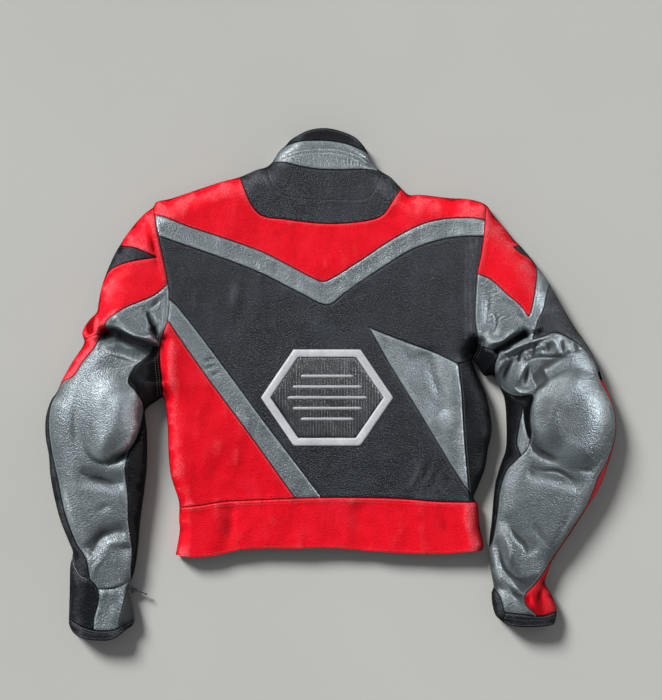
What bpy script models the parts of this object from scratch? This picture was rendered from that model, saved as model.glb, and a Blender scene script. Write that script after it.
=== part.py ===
"""A leather motorcycle jacket lying flat on its front, back face up.

Sizes below are in millimetres and are turned to metres when a piece is made. x runs across the back to the
right sleeve, y runs up to the collar, z is height above the floor the jacket lies on.
"""
import math

import bmesh
import bpy
import numpy as np
from mathutils import Vector
from mathutils.geometry import delaunay_2d_cdt

for old in list(bpy.data.objects):
    bpy.data.objects.remove(old, do_unlink=True)

MM = 0.001
LEATHER = 1.6          # thickness of the leather
SEAM_GAP = 0.34        # gap between two pieces at a seam
EDGE_GAP = 0.36        # gap between back and front pieces round the outer edge
GRID_TOP = 27.0        # spacing of points over the back
GRID_UNDER = 62.0      # spacing of points over the front
EDGE_STEP = 24.0       # spacing of points along outlines and seams
RINGS_TOP = (2.2, 9.0, 21.0)
RINGS_UNDER = (3.0, 10.5)
PATCH_LIFT = 0.34      # patch above the leather it lies on
PATCH_WALL = 1.3
PATCH_FIELD_WALL = 1.0

# Laid-up height of the back over the floor: x, y, height, radius of the edge, height of the edge seam
CROWN = (
    (-6, 350, 25, 15, 8),
    (-6, 300, 36, 24, 9),
    (-110, 285, 40, 28, 9),
    (90, 275, 40, 28, 9),
    (-200, 240, 42, 30, 10),
    (190, 235, 42, 30, 10),
    (0, 190, 42, 34, 10),
    (-150, 90, 40, 34, 10),
    (150, 90, 40, 34, 10),
    (0, 20, 40, 34, 10),
    (-170, -60, 37, 30, 10),
    (170, -60, 37, 30, 10),
    (-10, -110, 34, 30, 10),
    (-160, -150, 30, 24, 9),
    (160, -150, 30, 24, 9),
    (-160, -225, 25, 17, 8),
    (0, -225, 26, 17, 8),
    (160, -225, 25, 17, 8),
    (-295, 190, 54, 42, 13),
    (-310, 100, 56, 42, 14),
    (-345, 30, 50, 40, 14),
    (-350, -60, 52, 40, 14),
    (-350, -150, 48, 38, 13),
    (-340, -240, 42, 34, 12),
    (-345, -335, 34, 26, 11),
    (262, 190, 54, 42, 13),
    (290, 110, 56, 42, 14),
    (335, 40, 52, 40, 14),
    (345, -55, 52, 40, 14),
    (320, -150, 48, 38, 13),
    (285, -240, 42, 34, 12),
    (297, -335, 34, 26, 11),
)
CROWN_SPREAD = 52.0

# Deep folds: start x, y, end x, y, depth, half width on the left of that line, half width on its right
FOLDS = (
    (-338, 76, -310, 68, 22, 9, 15),
    (-316, 70, -262, 50, 27, 9, 15),
    (-253, 66, -254, 8, 16, 10, 18),
    (-254, 8, -250, -20, 10, 10, 18),
    (-271, 100, -255, 70, 10, 7, 7),
    (250, 48, 292, 70, 24, 9, 9),
    (292, 70, 330, 78, 10, 8, 10),
    (222, 62, 212, 38, 17, 8, 16),
    (-366, -139, -316, -148, 5, 12, 10),
    (-357, -247, -338, -224, 7, 12, 9),
    (-338, -224, -314, -220, 7, 12, 9),
    (-322, -247, -294, -245, 4, 10, 12),
    (300, -132, 366, -150, 7, 12, 9),
    (262, -205, 300, -246, 6, 12, 9),
    (247, -240, 288, -304, 9, 9, 12),
    (255, -300, 290, -324, 5, 8, 8),
    (141, 40, 165, -36, 4, 14, 20),
    (-150, -190, -160, -250, 3, 12, 14),
    (40, -190, 48, -250, 3, 14, 14),
)

# Elbow cups: points round the cup, height of its dome, radius of its edge
CUP_LEFT = ((-379, -27), (-362, -3), (-345, 8), (-320, 8), (-297, -4), (-283, -30), (-284, -54),
            (-291, -80), (-305, -99), (-322, -109), (-341, -117), (-358, -108), (-371, -86), (-379, -54))
CUP_RIGHT = ((298, -40), (305, -20), (318, -4), (336, 8), (360, 20), (382, 18), (400, 6), (413, -20),
             (418, -48), (416, -76), (407, -104), (392, -124), (366, -128), (340, -120), (318, -100),
             (302, -74))
CUPS = ((CUP_LEFT, 15.0, 26.0), (CUP_RIGHT, 16.0, 28.0))

# Rolls and raised padding, the first beside the right armhole: start, end, height, half width
RIDGES = (
    (208, 205, 207, 70, 2.5, 7),
    (-322, 99, -262, 64, 6, 9),
    (258, 44, 330, 66, 5, 8),
    (232, 62, 250, 66, 8, 9),
)

# Closed outer edges, where back and front pieces meet
SIDES = {
    "left_outer": (
        (-62, 365), (-68, 358), (-77, 350), (-89, 332), (-98, 325), (-110, 322), (-136, 311), (-166, 303),
        (-205, 290), (-241, 278), (-262, 273), (-267, 265), (-279, 256), (-294, 240), (-309, 220),
        (-324, 195), (-336, 168), (-344, 145), (-349, 119), (-351, 108), (-364, 94), (-373, 77),
        (-370, 62), (-386, 36), (-402, 8), (-411, -12), (-420, -25), (-427.5, -50), (-428, -78),
        (-423, -108), (-421, -136), (-414, -174), (-405, -207), (-393, -237), (-387, -254), (-391, -272),
        (-392, -310), (-393, -346), (-393, -360), (-389, -370)),
    "left_inner": (
        (-305, -367), (-297, -361), (-295, -350), (-297, -334), (-301, -316), (-302, -303), (-295, -281),
        (-290, -250), (-286, -205), (-280, -160), (-276, -120), (-276, -72), (-279, -43), (-276, -36),
        (-262, -26), (-252, -20), (-248, -34), (-245, -62), (-244, -100), (-241, -134), (-235, -155),
        (-228, -178), (-228, -204), (-227, -220), (-233, -256)),
    "right_inner": (
        (227, -249), (229, -242), (223, -213), (220, -180), (214, -171), (220, -155), (231, -126),
        (236, -95), (241, -72), (239, -46), (232, -14), (220, 13), (211, 38), (220, 27), (229, 13),
        (243, 12), (252, -4), (260, -22), (263, -60), (262, -98), (254, -122), (246, -152), (241, -205),
        (237, -245), (239, -275), (244, -305), (241, -312), (242, -330), (247, -347), (255, -355)),
    "right_outer": (
        (335, -360), (338, -348), (338, -334), (329, -313), (321, -298), (325, -283), (332, -265),
        (360, -223), (383, -187), (403, -155), (415, -122), (424, -92), (428, -62), (422, -28), (411, -2),
        (398, 34), (382, 62), (366, 84), (342, 124), (322, 159), (310, 175), (298, 191), (284, 207),
        (275, 216), (258, 237), (244, 253), (232, 269), (208, 277), (178, 279), (134, 284), (117, 284),
        (105, 294), (90, 310), (74, 320), (60, 336), (55, 347), (50, 356)),
}
# Open ends, where the hollow of the jacket can be looked into
ENDS = {
    "collar": ((50, 356), (36, 369), (13, 379), (-11, 383), (-35, 379), (-62, 365)),
    "left_cuff": ((-389, -370), (-374, -379), (-349, -383), (-326, -381), (-305, -367)),
    "hem": ((-233, -256), (-204, -259), (-166, -255), (-137, -248), (-100, -246), (-51, -246), (0, -245),
            (60, -250), (110, -253), (160, -254), (205, -251), (227, -249)),
    "right_cuff": ((255, -355), (268, -361), (290, -363), (318, -362), (335, -360)),
}
# Seams of the back. The first and last point of each run onto the nearest line.
SEAMS_TOP = {
    "collar_top": ((-70, 356), (-45, 363), (-8, 364), (20, 360), (42, 352), (56, 345)),
    "neckline": ((-89, 332), (-70, 331), (-45, 325), (-17, 321), (21, 320), (60, 321), (76, 319)),
    "neck_yoke": ((-137, 311), (-128, 288), (-117, 265), (-102, 251), (-70, 246), (-17, 240), (20, 240),
                  (60, 245), (78, 253), (92, 273), (105, 293)),
    "chevron_top": ((-263, 253), (-250, 250), (-212, 235), (-166, 220), (-104, 198), (-66, 179),
                    (-28, 159), (-12, 153), (2, 158), (45, 185), (90, 215), (132, 237), (165, 246),
                    (208, 248), (231, 245)),
    "chevron_low": ((-257, 221), (-226, 210), (-166, 189), (-104, 165), (-47, 136), (-5, 118), (21, 136),
                    (74, 172), (118, 199), (163, 215), (200, 220), (227, 220)),
    "armhole_left": ((-266, 267), (-260, 234), (-251, 192), (-243, 151), (-241, 120), (-244, 94),
                     (-253, 66), (-256, 44), (-253, 6), (-252, -20)),
    "armhole_right": ((232, 269), (230, 243), (224, 195), (218, 165), (215, 126), (215, 90), (219, 62),
                      (211, 38)),
    "diagonal_up": ((-241, 127), (-229, 116), (-164, 31), (-104, -51), (-47, -126), (-14, -170)),
    "diagonal_low": ((-243, 95), (-226, 69), (-182, 6), (-122, -75), (-62, -159), (-53, -171)),
    "hem": ((-228, -185), (-198, -182), (-160, -176), (-100, -173), (-20, -170), (50, -170), (110, -172),
            (160, -176), (215, -177)),
    "taper_top": ((57, 84), (104, 66), (160, 45), (190, 30)),
    "taper_left": ((57, 84), (86, 31), (135, -48), (178, -120), (206, -162)),
    "taper_right": ((190, 30), (195, -14), (198, -70), (202, -120), (206, -162)),
    "taper_foot": ((206, -162), (209, -177)),
    "side_right": ((190, 30), (211, 38)),
    "insert_left_up": ((-317, 207), (-295, 204), (-277, 197), (-263, 190)),
    "insert_left_low": ((-341, 158), (-327, 172), (-305, 181), (-263, 190)),
    "cap_left_low": ((-242, 150), (-264, 132), (-302, 116), (-325, 103), (-336, 92), (-335, 80),
                     (-331, 74)),
    "fold_left": ((-371, 66), (-349, 74), (-331, 74), (-312, 66), (-280, 57), (-253, 56)),
    "outer_left_low": ((-343, 73), (-352, 56), (-371, 33), (-385, 12), (-400, 4), (-410, -10)),
    "inner_left": ((-267, 57), (-270, 46), (-281, 36), (-293, 24), (-302, 4), (-290, -11), (-281, -30),
                   (-284, -58), (-292, -84), (-302, -103), (-307, -128), (-303, -166), (-302, -206),
                   (-297, -250), (-299, -275), (-299, -294)),
    "strip_left": ((-410, -12), (-419, -32), (-422, -62), (-417, -102), (-408, -142), (-398, -190),
                   (-381, -237), (-366, -261), (-360, -292)),
    "strip_left_low": ((-360, -292), (-350, -303), (-347, -322), (-354, -350), (-355, -367)),
    "flap_left": ((-387, -255), (-384, -272), (-373, -289), (-360, -292)),
    "wrist_left": ((-348, -306), (-325, -305), (-299, -294)),
    "zip_left": ((-304, -300), (-312, -328), (-320, -346), (-321, -366)),
    "cuff_left": ((-393, -350), (-374, -361), (-350, -368), (-324, -367), (-309, -360), (-295, -352)),
    "cap_right_low": ((218, 165), (238, 156), (262, 134), (284, 115), (294, 101), (302, 128), (307, 160),
                      (307, 178)),
    "insert_right": ((306, 179), (295, 189), (283, 196), (272, 205)),
    "insert_right_up": ((272, 205), (284, 207)),
    "strip_right": ((327, 152), (321, 132), (316, 112), (307, 93), (300, 73)),
    "fold_right": ((217, 62), (234, 53), (254, 61), (275, 73), (300, 73), (316, 68), (334, 76), (354, 69),
                   (378, 53), (394, 32), (402, 7), (409, 4)),
    "inner_right": ((253, -5), (265, -15), (280, -19), (300, -17), (297, -37), (296, -56), (298, -74),
                    (292, -96), (276, -113), (262, -129), (252, -160), (248, -196), (241, -236),
                    (237, -245)),
    "lobe_right": ((254, 61), (249, 44), (245, 32), (244, 22), (246, 10)),
    "pleat_right_a": ((286, -42), (280, -66), (279, -94), (290, -98)),
    "pleat_right_b": ((286, -42), (290, -66), (296, -88)),
    "outer_right": ((398, 20), (402, -3), (417, -27), (423, -60), (419, -96), (405, -124), (393, -156),
                    (375, -191), (350, -229), (327, -262), (315, -288), (300, -304), (290, -314),
                    (291, -329), (308, -345)),
    "cuff_right": ((259, -341), (286, -344), (318, -346), (338, -340)),
    "tab_right": ((244, -305), (252, -318), (258, -336), (259, -348), (256, -355)),
    "patch_out": ((-105, -20), (-56, 52), (44, 52), (93, -20), (44, -92), (-56, -92), (-105, -20)),
    "patch_in": ((-90, -20), (-49, 40), (37, 40), (78, -20), (37, -80), (-49, -80), (-90, -20)),
}
SEAMS_UNDER = {
    "armhole_left": SEAMS_TOP["armhole_left"],
    "armhole_right": SEAMS_TOP["armhole_right"],
    "neckline": ((-95, 327), (-60, 308), (-6, 302), (45, 304), (68, 310), (80, 317)),
    "zip_left_edge": ((-15, 304), (-15, 100), (-14, -246)),
    "zip_right_edge": ((5, 304), (5, 100), (6, -245)),
    "collar_split": ((-5, 383), (-5, 302)),
    "hem": ((-228, -185), (-110, -178), (0, -176), (110, -178), (219, -180)),
    "cuff_left": ((-393, -350), (-350, -356), (-297, -352)),
    "cuff_right": ((247, -343), (290, -342), (338, -340)),
    "elbow_left": ((-427.5, -50), (-345, -38), (-276, -36)),
    "elbow_right": ((260, -22), (340, -26), (422, -28)),
}
STRAIGHT = ("patch_out", "patch_in", "taper_top", "taper_left", "taper_right", "taper_foot", "side_right",
            "zip_left_edge", "zip_right_edge", "collar_split", "insert_right_up")

RED = (0.75, 0.012, 0.03)
GREY = (0.17, 0.20, 0.205)
BLACK = (0.025, 0.027, 0.032)
PALE = (0.62, 0.63, 0.66)

# Back pieces: a point inside each region they are cut as, and their colour
TOP_PIECES = {
    "collar_edging": (((-8, 374),), BLACK),
    "collar_back": (((-8, 342),), GREY),
    "yoke_neck": (((-8, 280),), BLACK),
    "yoke_shoulder": (((-200, 262), ), RED),
    "chevron": (((-150, 200),), GREY),
    "back_main": (((0, 80), (-97, -20), (-6, -20)), BLACK),
    "back_stripe": (((-150, -10),), GREY),
    "side_left": (((-200, -100),), RED),
    "back_taper": (((160, 0),), GREY),
    "side_right": (((220, -60),), BLACK),
    "hem_back": (((0, -210),), RED),
    "cap_left": (((-290, 150),), RED),
    "insert_left": (((-315, 190),), BLACK),
    "upper_left": (((-280, 90),), GREY),
    "outer_left": (((-372, 50),), RED),
    "elbow_left": (((-340, -60),), GREY),
    "strip_left": (((-424, -90),), BLACK),
    "inner_left": (((-270, 0),), BLACK),
    "wrist_gusset_left": (((-372, -330),), BLACK),
    "wrist_left": (((-334, -330),), GREY),
    "zip_tape_left": (((-303, -345),), BLACK),
    "cuff_left_back": (((-340, -375),), BLACK),
    "cap_right": (((260, 170),), RED),
    "insert_right": (((294, 193),), BLACK),
    "upper_right": (((250, 100),), GREY),
    "outer_right": (((340, 100),), BLACK),
    "elbow_right": (((360, -50),), GREY),
    "gusset_right": (((230, 30),), BLACK),
    "inner_right": (((275, -60),), BLACK),
    "pleat_right": (((285, -75),), GREY),
    "strip_right": (((318, -320),), RED),
    "cuff_right_back": (((290, -355),), BLACK),
    "tab_right": (((247, -330),), BLACK),
}
UNDER_PIECES = {
    "front_left": (((-120, 50),), BLACK),
    "front_right": (((120, 50),), BLACK),
    "front_zip": (((-5, 50), (-5, -210)), BLACK),
    "collar_left": (((-40, 345),), GREY),
    "collar_right": (((35, 345),), GREY),
    "hem_left": (((-120, -215),), RED),
    "hem_right": (((120, -215),), RED),
    "under_left_upper": (((-300, 100),), BLACK),
    "under_left_lower": (((-340, -100),), BLACK),
    "under_right_upper": (((280, 100),), BLACK),
    "under_right_lower": (((320, -100),), BLACK),
    "cuff_left_front": (((-345, -368),), BLACK),
    "cuff_right_front": (((295, -352),), BLACK),
}

# Zip slider and its pull beside the left cuff. The pull swings about an upright pin held by the slider.
ZIP_STEEL = (0.09, 0.09, 0.095)
SLIDER_SEAT = (-301.5, -309.5)      # middle of the sleeve's outer edge there
SLIDER_TURN = 4.4                   # how far that edge leans from the y direction, in degrees
SLIDER_GAP = 0.42
SLIDER_LENGTH = 9.0
SLIDER_DEPTH = 5.0
SLIDER_HEIGHT = 7.6
SLIDER_Z = 11.9
LUG_LENGTH = 5.0
LUG_REACH = 4.2
LUG_WALL = 1.3
PIN_RADIUS = 0.8
EYE_HOLE = 1.15
EYE_RADIUS = 2.1
PULL_HEIGHT = 4.2
PULL_LENGTH = 19.0
PULL_WIDTH = 1.5
PULL_TIP = 2.2
PULL_REST = -21.0                   # direction of the pull as it lies, in degrees from x


def smooth_line(points, step, straight=False):
    """Points every step along a soft line through the given points, or along straight runs between them."""
    pts = [np.array(p, float) for p in points]
    closed = np.allclose(pts[0], pts[-1])
    out = []
    for i in range(len(pts) - 1):
        a = pts[i]
        b = pts[i + 1]
        n = max(1, int(round(np.linalg.norm(b - a) / step)))
        before = pts[i - 1] if i > 0 else (pts[-2] if closed else 2 * a - b)
        after = pts[i + 2] if i + 2 < len(pts) else (pts[1] if closed else 2 * b - a)
        reach = np.linalg.norm(b - a)
        ta = (b - before) / max(1e-6, np.linalg.norm(a - before) + reach) * reach
        tb = (after - a) / max(1e-6, np.linalg.norm(after - b) + reach) * reach
        for k in range(n):
            t = k / n
            if straight:
                out.append(a + (b - a) * t)
                continue
            h1 = 2 * t ** 3 - 3 * t ** 2 + 1
            h2 = t ** 3 - 2 * t ** 2 + t
            h3 = -2 * t ** 3 + 3 * t ** 2
            h4 = t ** 3 - t ** 2
            out.append(h1 * a + h2 * ta + h3 * b + h4 * tb)
    out.append(pts[-1])
    return np.array(out)


def near_lines(p, segs):
    """Distance from each point to the nearest segment, and the nearest point on it."""
    a = segs[:, 0][None]
    d = (segs[:, 1] - segs[:, 0])[None]
    rel = p[:, None] - a
    t = np.clip((rel * d).sum(2) / np.maximum((d * d).sum(2), 1e-12), 0, 1)
    q = a + t[..., None] * d
    r = np.linalg.norm(p[:, None] - q, axis=2)
    i = r.argmin(1)
    k = np.arange(len(p))
    return r[k, i], q[k, i], i


def segments(lines):
    return np.concatenate([np.stack([ln[:-1], ln[1:]], 1) for ln in lines])


SIDE_LINES = {n: smooth_line(p, EDGE_STEP) for n, p in SIDES.items()}
END_LINES = {n: smooth_line(p, EDGE_STEP) for n, p in ENDS.items()}
CUP_SEGS = [segments([smooth_line(c[0] + (c[0][0],), 10.0)]) for c in CUPS]
CROWN_TABLE = np.array(CROWN, float)


def crown_at(p):
    """Crown height, edge radius and edge height, blended between the places in the table."""
    d2 = ((p[:, None] - CROWN_TABLE[None, :, :2]) ** 2).sum(2)
    w = np.exp(-(d2 - d2.min(1)[:, None]) / (2 * CROWN_SPREAD ** 2))
    w /= w.sum(1)[:, None]
    return w @ CROWN_TABLE[:, 2:]


def line_wave(p, x0, y0, x1, y1, left, right):
    """1 on the line between two points, falling to 0 over the half widths at its sides and at its ends."""
    a = np.array((x0, y0), float)
    d = np.array((x1 - x0, y1 - y0), float)
    length = np.linalg.norm(d)
    d /= length
    rel = p - a
    along = rel @ d
    side = rel @ np.array((-d[1], d[0]))
    width = np.where(side > 0, left, right)
    over = np.maximum(0, np.maximum(-along, along - length))
    return np.exp(-(side / width) ** 2) * np.exp(-(over / (0.8 * min(left, right))) ** 2)


def near_all(p, segs):
    """Distance from one point to every segment."""
    d = segs[:, 1] - segs[:, 0]
    t = np.clip(((p - segs[:, 0]) * d).sum(1) / np.maximum((d * d).sum(1), 1e-12), 0, 1)
    return np.linalg.norm(p - segs[:, 0] - t[:, None] * d, axis=1)


def inside_loop(p, segs):
    a = segs[:, 0]
    b = segs[:, 1]
    hit = ((a[None, :, 1] > p[:, None, 1]) != (b[None, :, 1] > p[:, None, 1]))
    with np.errstate(divide="ignore", invalid="ignore"):
        xs = a[None, :, 0] + (p[:, None, 1] - a[None, :, 1]) / (b - a)[None, :, 1] * (b - a)[None, :, 0]
    return (hit & (p[:, None, 0] < xs)).sum(1) % 2 == 1


def height_from(p, d):
    """Height of the back's outer face at plan points p, d being their distance from the closed edge."""
    crown, radius, edge = crown_at(p).T
    s = np.clip(d / radius, 0, 1)
    z = edge + EDGE_GAP / 2 + (crown - edge) * np.sqrt(np.maximum(0, 1 - (1 - s) ** 2))
    soft = np.clip(d / 12.0, 0, 1)
    soft = soft * soft * (3 - 2 * soft)
    for (_, rise, reach), segs in zip(CUPS, CUP_SEGS):
        far, _, _ = near_lines(p, segs)
        far = np.where(inside_loop(p, segs), far, 0)
        t = np.clip(far / reach, 0, 1)
        z = z + soft * rise * np.sqrt(np.maximum(0, 1 - (1 - t) ** 2))
    sunk = np.zeros(len(p))
    for x0, y0, x1, y1, depth, left, right in FOLDS:
        sunk = np.maximum(sunk, depth * line_wave(p, x0, y0, x1, y1, left, right))
    z = z - soft * sunk
    for x0, y0, x1, y1, rise, wide in RIDGES:
        z = z + soft * rise * line_wave(p, x0, y0, x1, y1, wide, wide)
    return z


def under_from(p, d):
    """Height of the front's outer face, flat on the floor and rolled up to the outer edge."""
    _, _, edge = crown_at(p).T
    s = np.clip(d / edge, 0, 1)
    return (edge - EDGE_GAP / 2) * (1 - np.sqrt(np.maximum(0, 1 - (1 - s) ** 2)))


def surface(p, cut, face):
    """Outer points over plan points p, and outward normals taken at cut, shared by neighbouring pieces."""
    z = face(p, near_lines(p, SIDE_SEGS)[0])
    d, q, _ = near_lines(cut, SIDE_SEGS)
    away = (cut - q) / np.maximum(d, 1e-6)[:, None]
    close = np.nonzero(d < 1.0)[0]
    for k in close:
        far = near_all(cut[k], SIDE_SEGS)
        away[k] = (np.exp(-(far - d[k]) / 0.3)[:, None] * SIDE_INWARD).sum(0)
        away[k] /= np.linalg.norm(away[k])
    e = 0.4
    ex = np.array((e, 0.0))
    ey = np.array((0.0, e))
    gx = (face(cut + ex, d) - face(cut - ex, d)) / (2 * e)
    gy = (face(cut + ey, d) - face(cut - ey, d)) / (2 * e)
    dd = np.maximum(d, 0.03)
    gd = (face(cut, dd + 0.02) - face(cut, dd - 0.02)) / 0.04
    n = np.stack([-(gx + gd * away[:, 0]), -(gy + gd * away[:, 1]), np.ones(len(cut))], 1)
    n /= np.linalg.norm(n, axis=1)[:, None]
    if face is under_from:
        n = -n
    on_edge = d < 0.02
    n[on_edge] = np.column_stack([-away, np.zeros(len(cut))])[on_edge]
    return np.column_stack([p, z]), n


for seam in list(SEAMS_TOP.values()) + list(SEAMS_UNDER.values()):
    for tip in (seam[0], seam[-1]):
        for side_name, line in SIDE_LINES.items():
            gap_to, spot, at = near_lines(np.array([tip], float), np.stack([line[:-1], line[1:]], 1))
            ends = line[at[0]:at[0] + 2]
            if gap_to[0] < 6.0 and np.linalg.norm(ends - spot, axis=1).min() > 3.0:
                SIDE_LINES[side_name] = np.insert(line, at[0] + 1, spot[0], axis=0)
SIDE_SEGS = segments(list(SIDE_LINES.values()))
OUTLINE = segments(list(SIDE_LINES.values()) + list(END_LINES.values()))
SIDE_INWARD = SIDE_SEGS[:, 1] - SIDE_SEGS[:, 0]
SIDE_LENGTHS = np.linalg.norm(SIDE_INWARD, axis=1)[:, None]
SIDE_INWARD = np.stack([-SIDE_INWARD[:, 1], SIDE_INWARD[:, 0]], 1) / SIDE_LENGTHS
SIDE_INWARD[~inside_loop(SIDE_SEGS.mean(1) + 0.5 * SIDE_INWARD, OUTLINE)] *= -1


def lay_out(seams, grid, rings):
    """Cut the whole outline into regions along the seams: points, triangles, edge kinds and neighbours."""
    lines = list(SIDE_LINES.values()) + list(END_LINES.values())
    kinds = ["side"] * len(SIDE_LINES) + ["end"] * len(END_LINES)
    lines = [ln.copy() for ln in lines]
    for name, pts in seams.items():
        ln = smooth_line(pts, EDGE_STEP, name in STRAIGHT)
        lines.append(ln)
        kinds.append("seam")
    for k, ln in enumerate(lines):
        if kinds[k] != "seam" or np.allclose(ln[0], ln[-1]):
            continue
        for end in (0, -1):
            best = None
            for j, o in enumerate(lines):
                if j == k:
                    continue
                r, q, i = near_lines(ln[end][None], np.stack([o[:-1], o[1:]], 1))
                r = r[0] - (6.0 if kinds[j] != "seam" and r[0] < 6.0 else 0.0)
                if best is None or r < best[0] - 1e-9:
                    best = (r, q[0], j, i[0])
            _, q, j, i = best
            o = lines[j]
            for v in (o[i], o[i + 1]):
                if np.linalg.norm(v - q) < 3.0:
                    q = v
            if not any(np.allclose(q, v) for v in (o[i], o[i + 1])):
                lines[j] = np.insert(o, i + 1, q, axis=0)
            ln[end] = q
    verts = []
    index = {}
    edges = []
    edge_kind = []
    for ln, kind in zip(lines, kinds):
        ids = []
        for v in ln:
            key = (round(v[0], 3), round(v[1], 3))
            if key not in index:
                index[key] = len(verts)
                verts.append(key)
            ids.append(index[key])
        for a, b in zip(ids, ids[1:]):
            if a != b:
                edges.append((a, b))
                edge_kind.append(kind)
    fixed = np.array(verts, float)
    segs = segments(lines)
    extra = []
    outline = segments([ln for ln, k in zip(lines, kinds) if k != "seam"])
    for depth in rings:
        for ln in lines[:len(SIDE_LINES)]:
            step = smooth_line(ln, max(EDGE_STEP, 1.1 * depth), True)
            t = np.gradient(step, axis=0)
            t /= np.linalg.norm(t, axis=1)[:, None]
            for s in (1, -1):
                cand = step + s * depth * np.stack([t[:, 1], -t[:, 0]], 1)
                extra.extend(cand[inside_loop(cand, outline)])
    extra = np.array(extra)
    d, _, _ = near_lines(extra, SIDE_SEGS)
    keep = [i for i in range(len(extra)) if min(abs(d[i] - r) for r in rings) < 0.25 * min(rings)]
    extra = extra[keep]
    x0, y0 = fixed.min(0)
    x1, y1 = fixed.max(0)
    rows = []
    for j in range(int((y1 - y0) / (grid * 0.87)) + 1):
        for i in range(int((x1 - x0) / grid) + 1):
            rows.append((x0 + (i + 0.5 * (j % 2)) * grid, y0 + j * grid * 0.87))
    rows = np.array(rows)
    rows = rows[inside_loop(rows, outline)]
    d, _, _ = near_lines(rows, SIDE_SEGS)
    rows = rows[d > max(rings) + 0.45 * grid]
    chosen = []
    for group, room in ((extra, 0.32 * EDGE_STEP), (rows, 0.5 * grid)):
        far, _, _ = near_lines(group, segs)
        dist, _, _ = near_lines(group, SIDE_SEGS)
        for v, f, s in zip(group, far, dist):
            space = min(room, 0.75 * s) if s < max(rings) + 1 else room
            if f < 0.75 * space:
                continue
            if chosen and np.min(np.hypot(*(np.array(chosen) - v).T)) < max(space, 0.3 * room):
                continue
            chosen.append(v)
    allv = [Vector(v) for v in verts] + [Vector(v) for v in chosen]
    out = delaunay_2d_cdt(allv, edges, [], 0, 1e-3)
    pts = np.array([tuple(v) for v in out[0]], float)
    tris = []
    for f in out[2]:
        tris.append(tuple(f))
    kind_of = {}
    for e, src in zip(out[1], out[4]):
        src = [s for s in src if s < len(edges)]
        if src:
            found = {edge_kind[s] for s in src}
            kind_of[tuple(sorted(e))] = "side" if "side" in found else ("end" if "end" in found else "seam")
    return pts, tris, kind_of


def regions(pts, tris, kind_of, seeds, stop):
    """Triangles reached from the seed points without crossing a line of the stop set."""
    by_edge = {}
    for k, f in enumerate(tris):
        for a, b in zip(f, f[1:] + f[:1]):
            by_edge.setdefault(tuple(sorted((a, b))), []).append(k)
    reached = set()
    for seed in seeds:
        start = None
        for k, f in enumerate(tris):
            a, b, c = (pts[i] for i in f)
            s = np.array(seed, float)
            cross = []
            for p, q in ((a, b), (b, c), (c, a)):
                cross.append((q[0] - p[0]) * (s[1] - p[1]) - (q[1] - p[1]) * (s[0] - p[0]))
            if min(cross) >= 0 or max(cross) <= 0:
                start = k
                break
        if start is None:
            raise ValueError("no region at " + str(seed))
        todo = [start]
        while todo:
            k = todo.pop()
            if k in reached:
                continue
            reached.add(k)
            f = tris[k]
            for a, b in zip(f, f[1:] + f[:1]):
                e = tuple(sorted((a, b)))
                if e in kind_of and kind_of[e] in stop:
                    continue
                todo.extend(n for n in by_edge[e] if n not in reached)
    return sorted(reached)


def pull_in(pts, faces, kind_of, gap):
    """Plan points of one region with its seam edges moved in by half the gap, and its border edges."""
    count = {}
    for f in faces:
        for a, b in zip(f, f[1:] + f[:1]):
            count[(a, b)] = 1
    border = [(a, b) for a, b in count if (b, a) not in count]
    moved = {i: pts[i].copy() for f in faces for i in f}
    at = {}
    for a, b in border:
        d = pts[b] - pts[a]
        d /= np.linalg.norm(d)
        inward = np.array((-d[1], d[0]))
        g = gap / 2 if kind_of.get(tuple(sorted((a, b))), "seam") == "seam" else 0.0
        at.setdefault(a, []).append((inward, g))
        at.setdefault(b, []).append((inward, g))
    for i, sides in at.items():
        (n1, g1), (n2, g2) = sides[0], sides[-1]
        det = n1[0] * n2[1] - n1[1] * n2[0]
        if len(sides) == 2 and abs(det) > 0.25:
            shift = np.array((g1 * n2[1] - g2 * n1[1], g2 * n1[0] - g1 * n2[0])) / det
            size = np.linalg.norm(shift)
            if size > 4 * gap:
                shift *= 4 * gap / size
        else:
            g = max(g for _, g in sides)
            n = sum(n for n, _ in sides)
            shift = n / max(1e-6, np.linalg.norm(n)) * g
        moved[i] = moved[i] + shift
    return moved, border


def material(name, colour, rough, metal=0.0):
    mat = bpy.data.materials.new(name)
    mat.use_nodes = True
    bsdf = mat.node_tree.nodes["Principled BSDF"]
    bsdf.inputs["Base Color"].default_value = (*colour, 1.0)
    bsdf.inputs["Roughness"].default_value = rough
    bsdf.inputs["Metallic"].default_value = metal
    mat.diffuse_color = (*colour, 1.0)
    return mat


def add_object(name, verts, faces, colour, rough=0.5, metal=0.0):
    mesh = bpy.data.meshes.new(name)
    mesh.from_pydata([tuple(v * MM) for v in verts], [], faces)
    bm = bmesh.new()
    bm.from_mesh(mesh)
    bmesh.ops.recalc_face_normals(bm, faces=bm.faces)
    bm.to_mesh(mesh)
    bm.free()
    obj = bpy.data.objects.new(name, mesh)
    bpy.context.scene.collection.objects.link(obj)
    mesh.materials.append(material(name + "_look", colour, rough, metal))
    return obj


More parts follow.
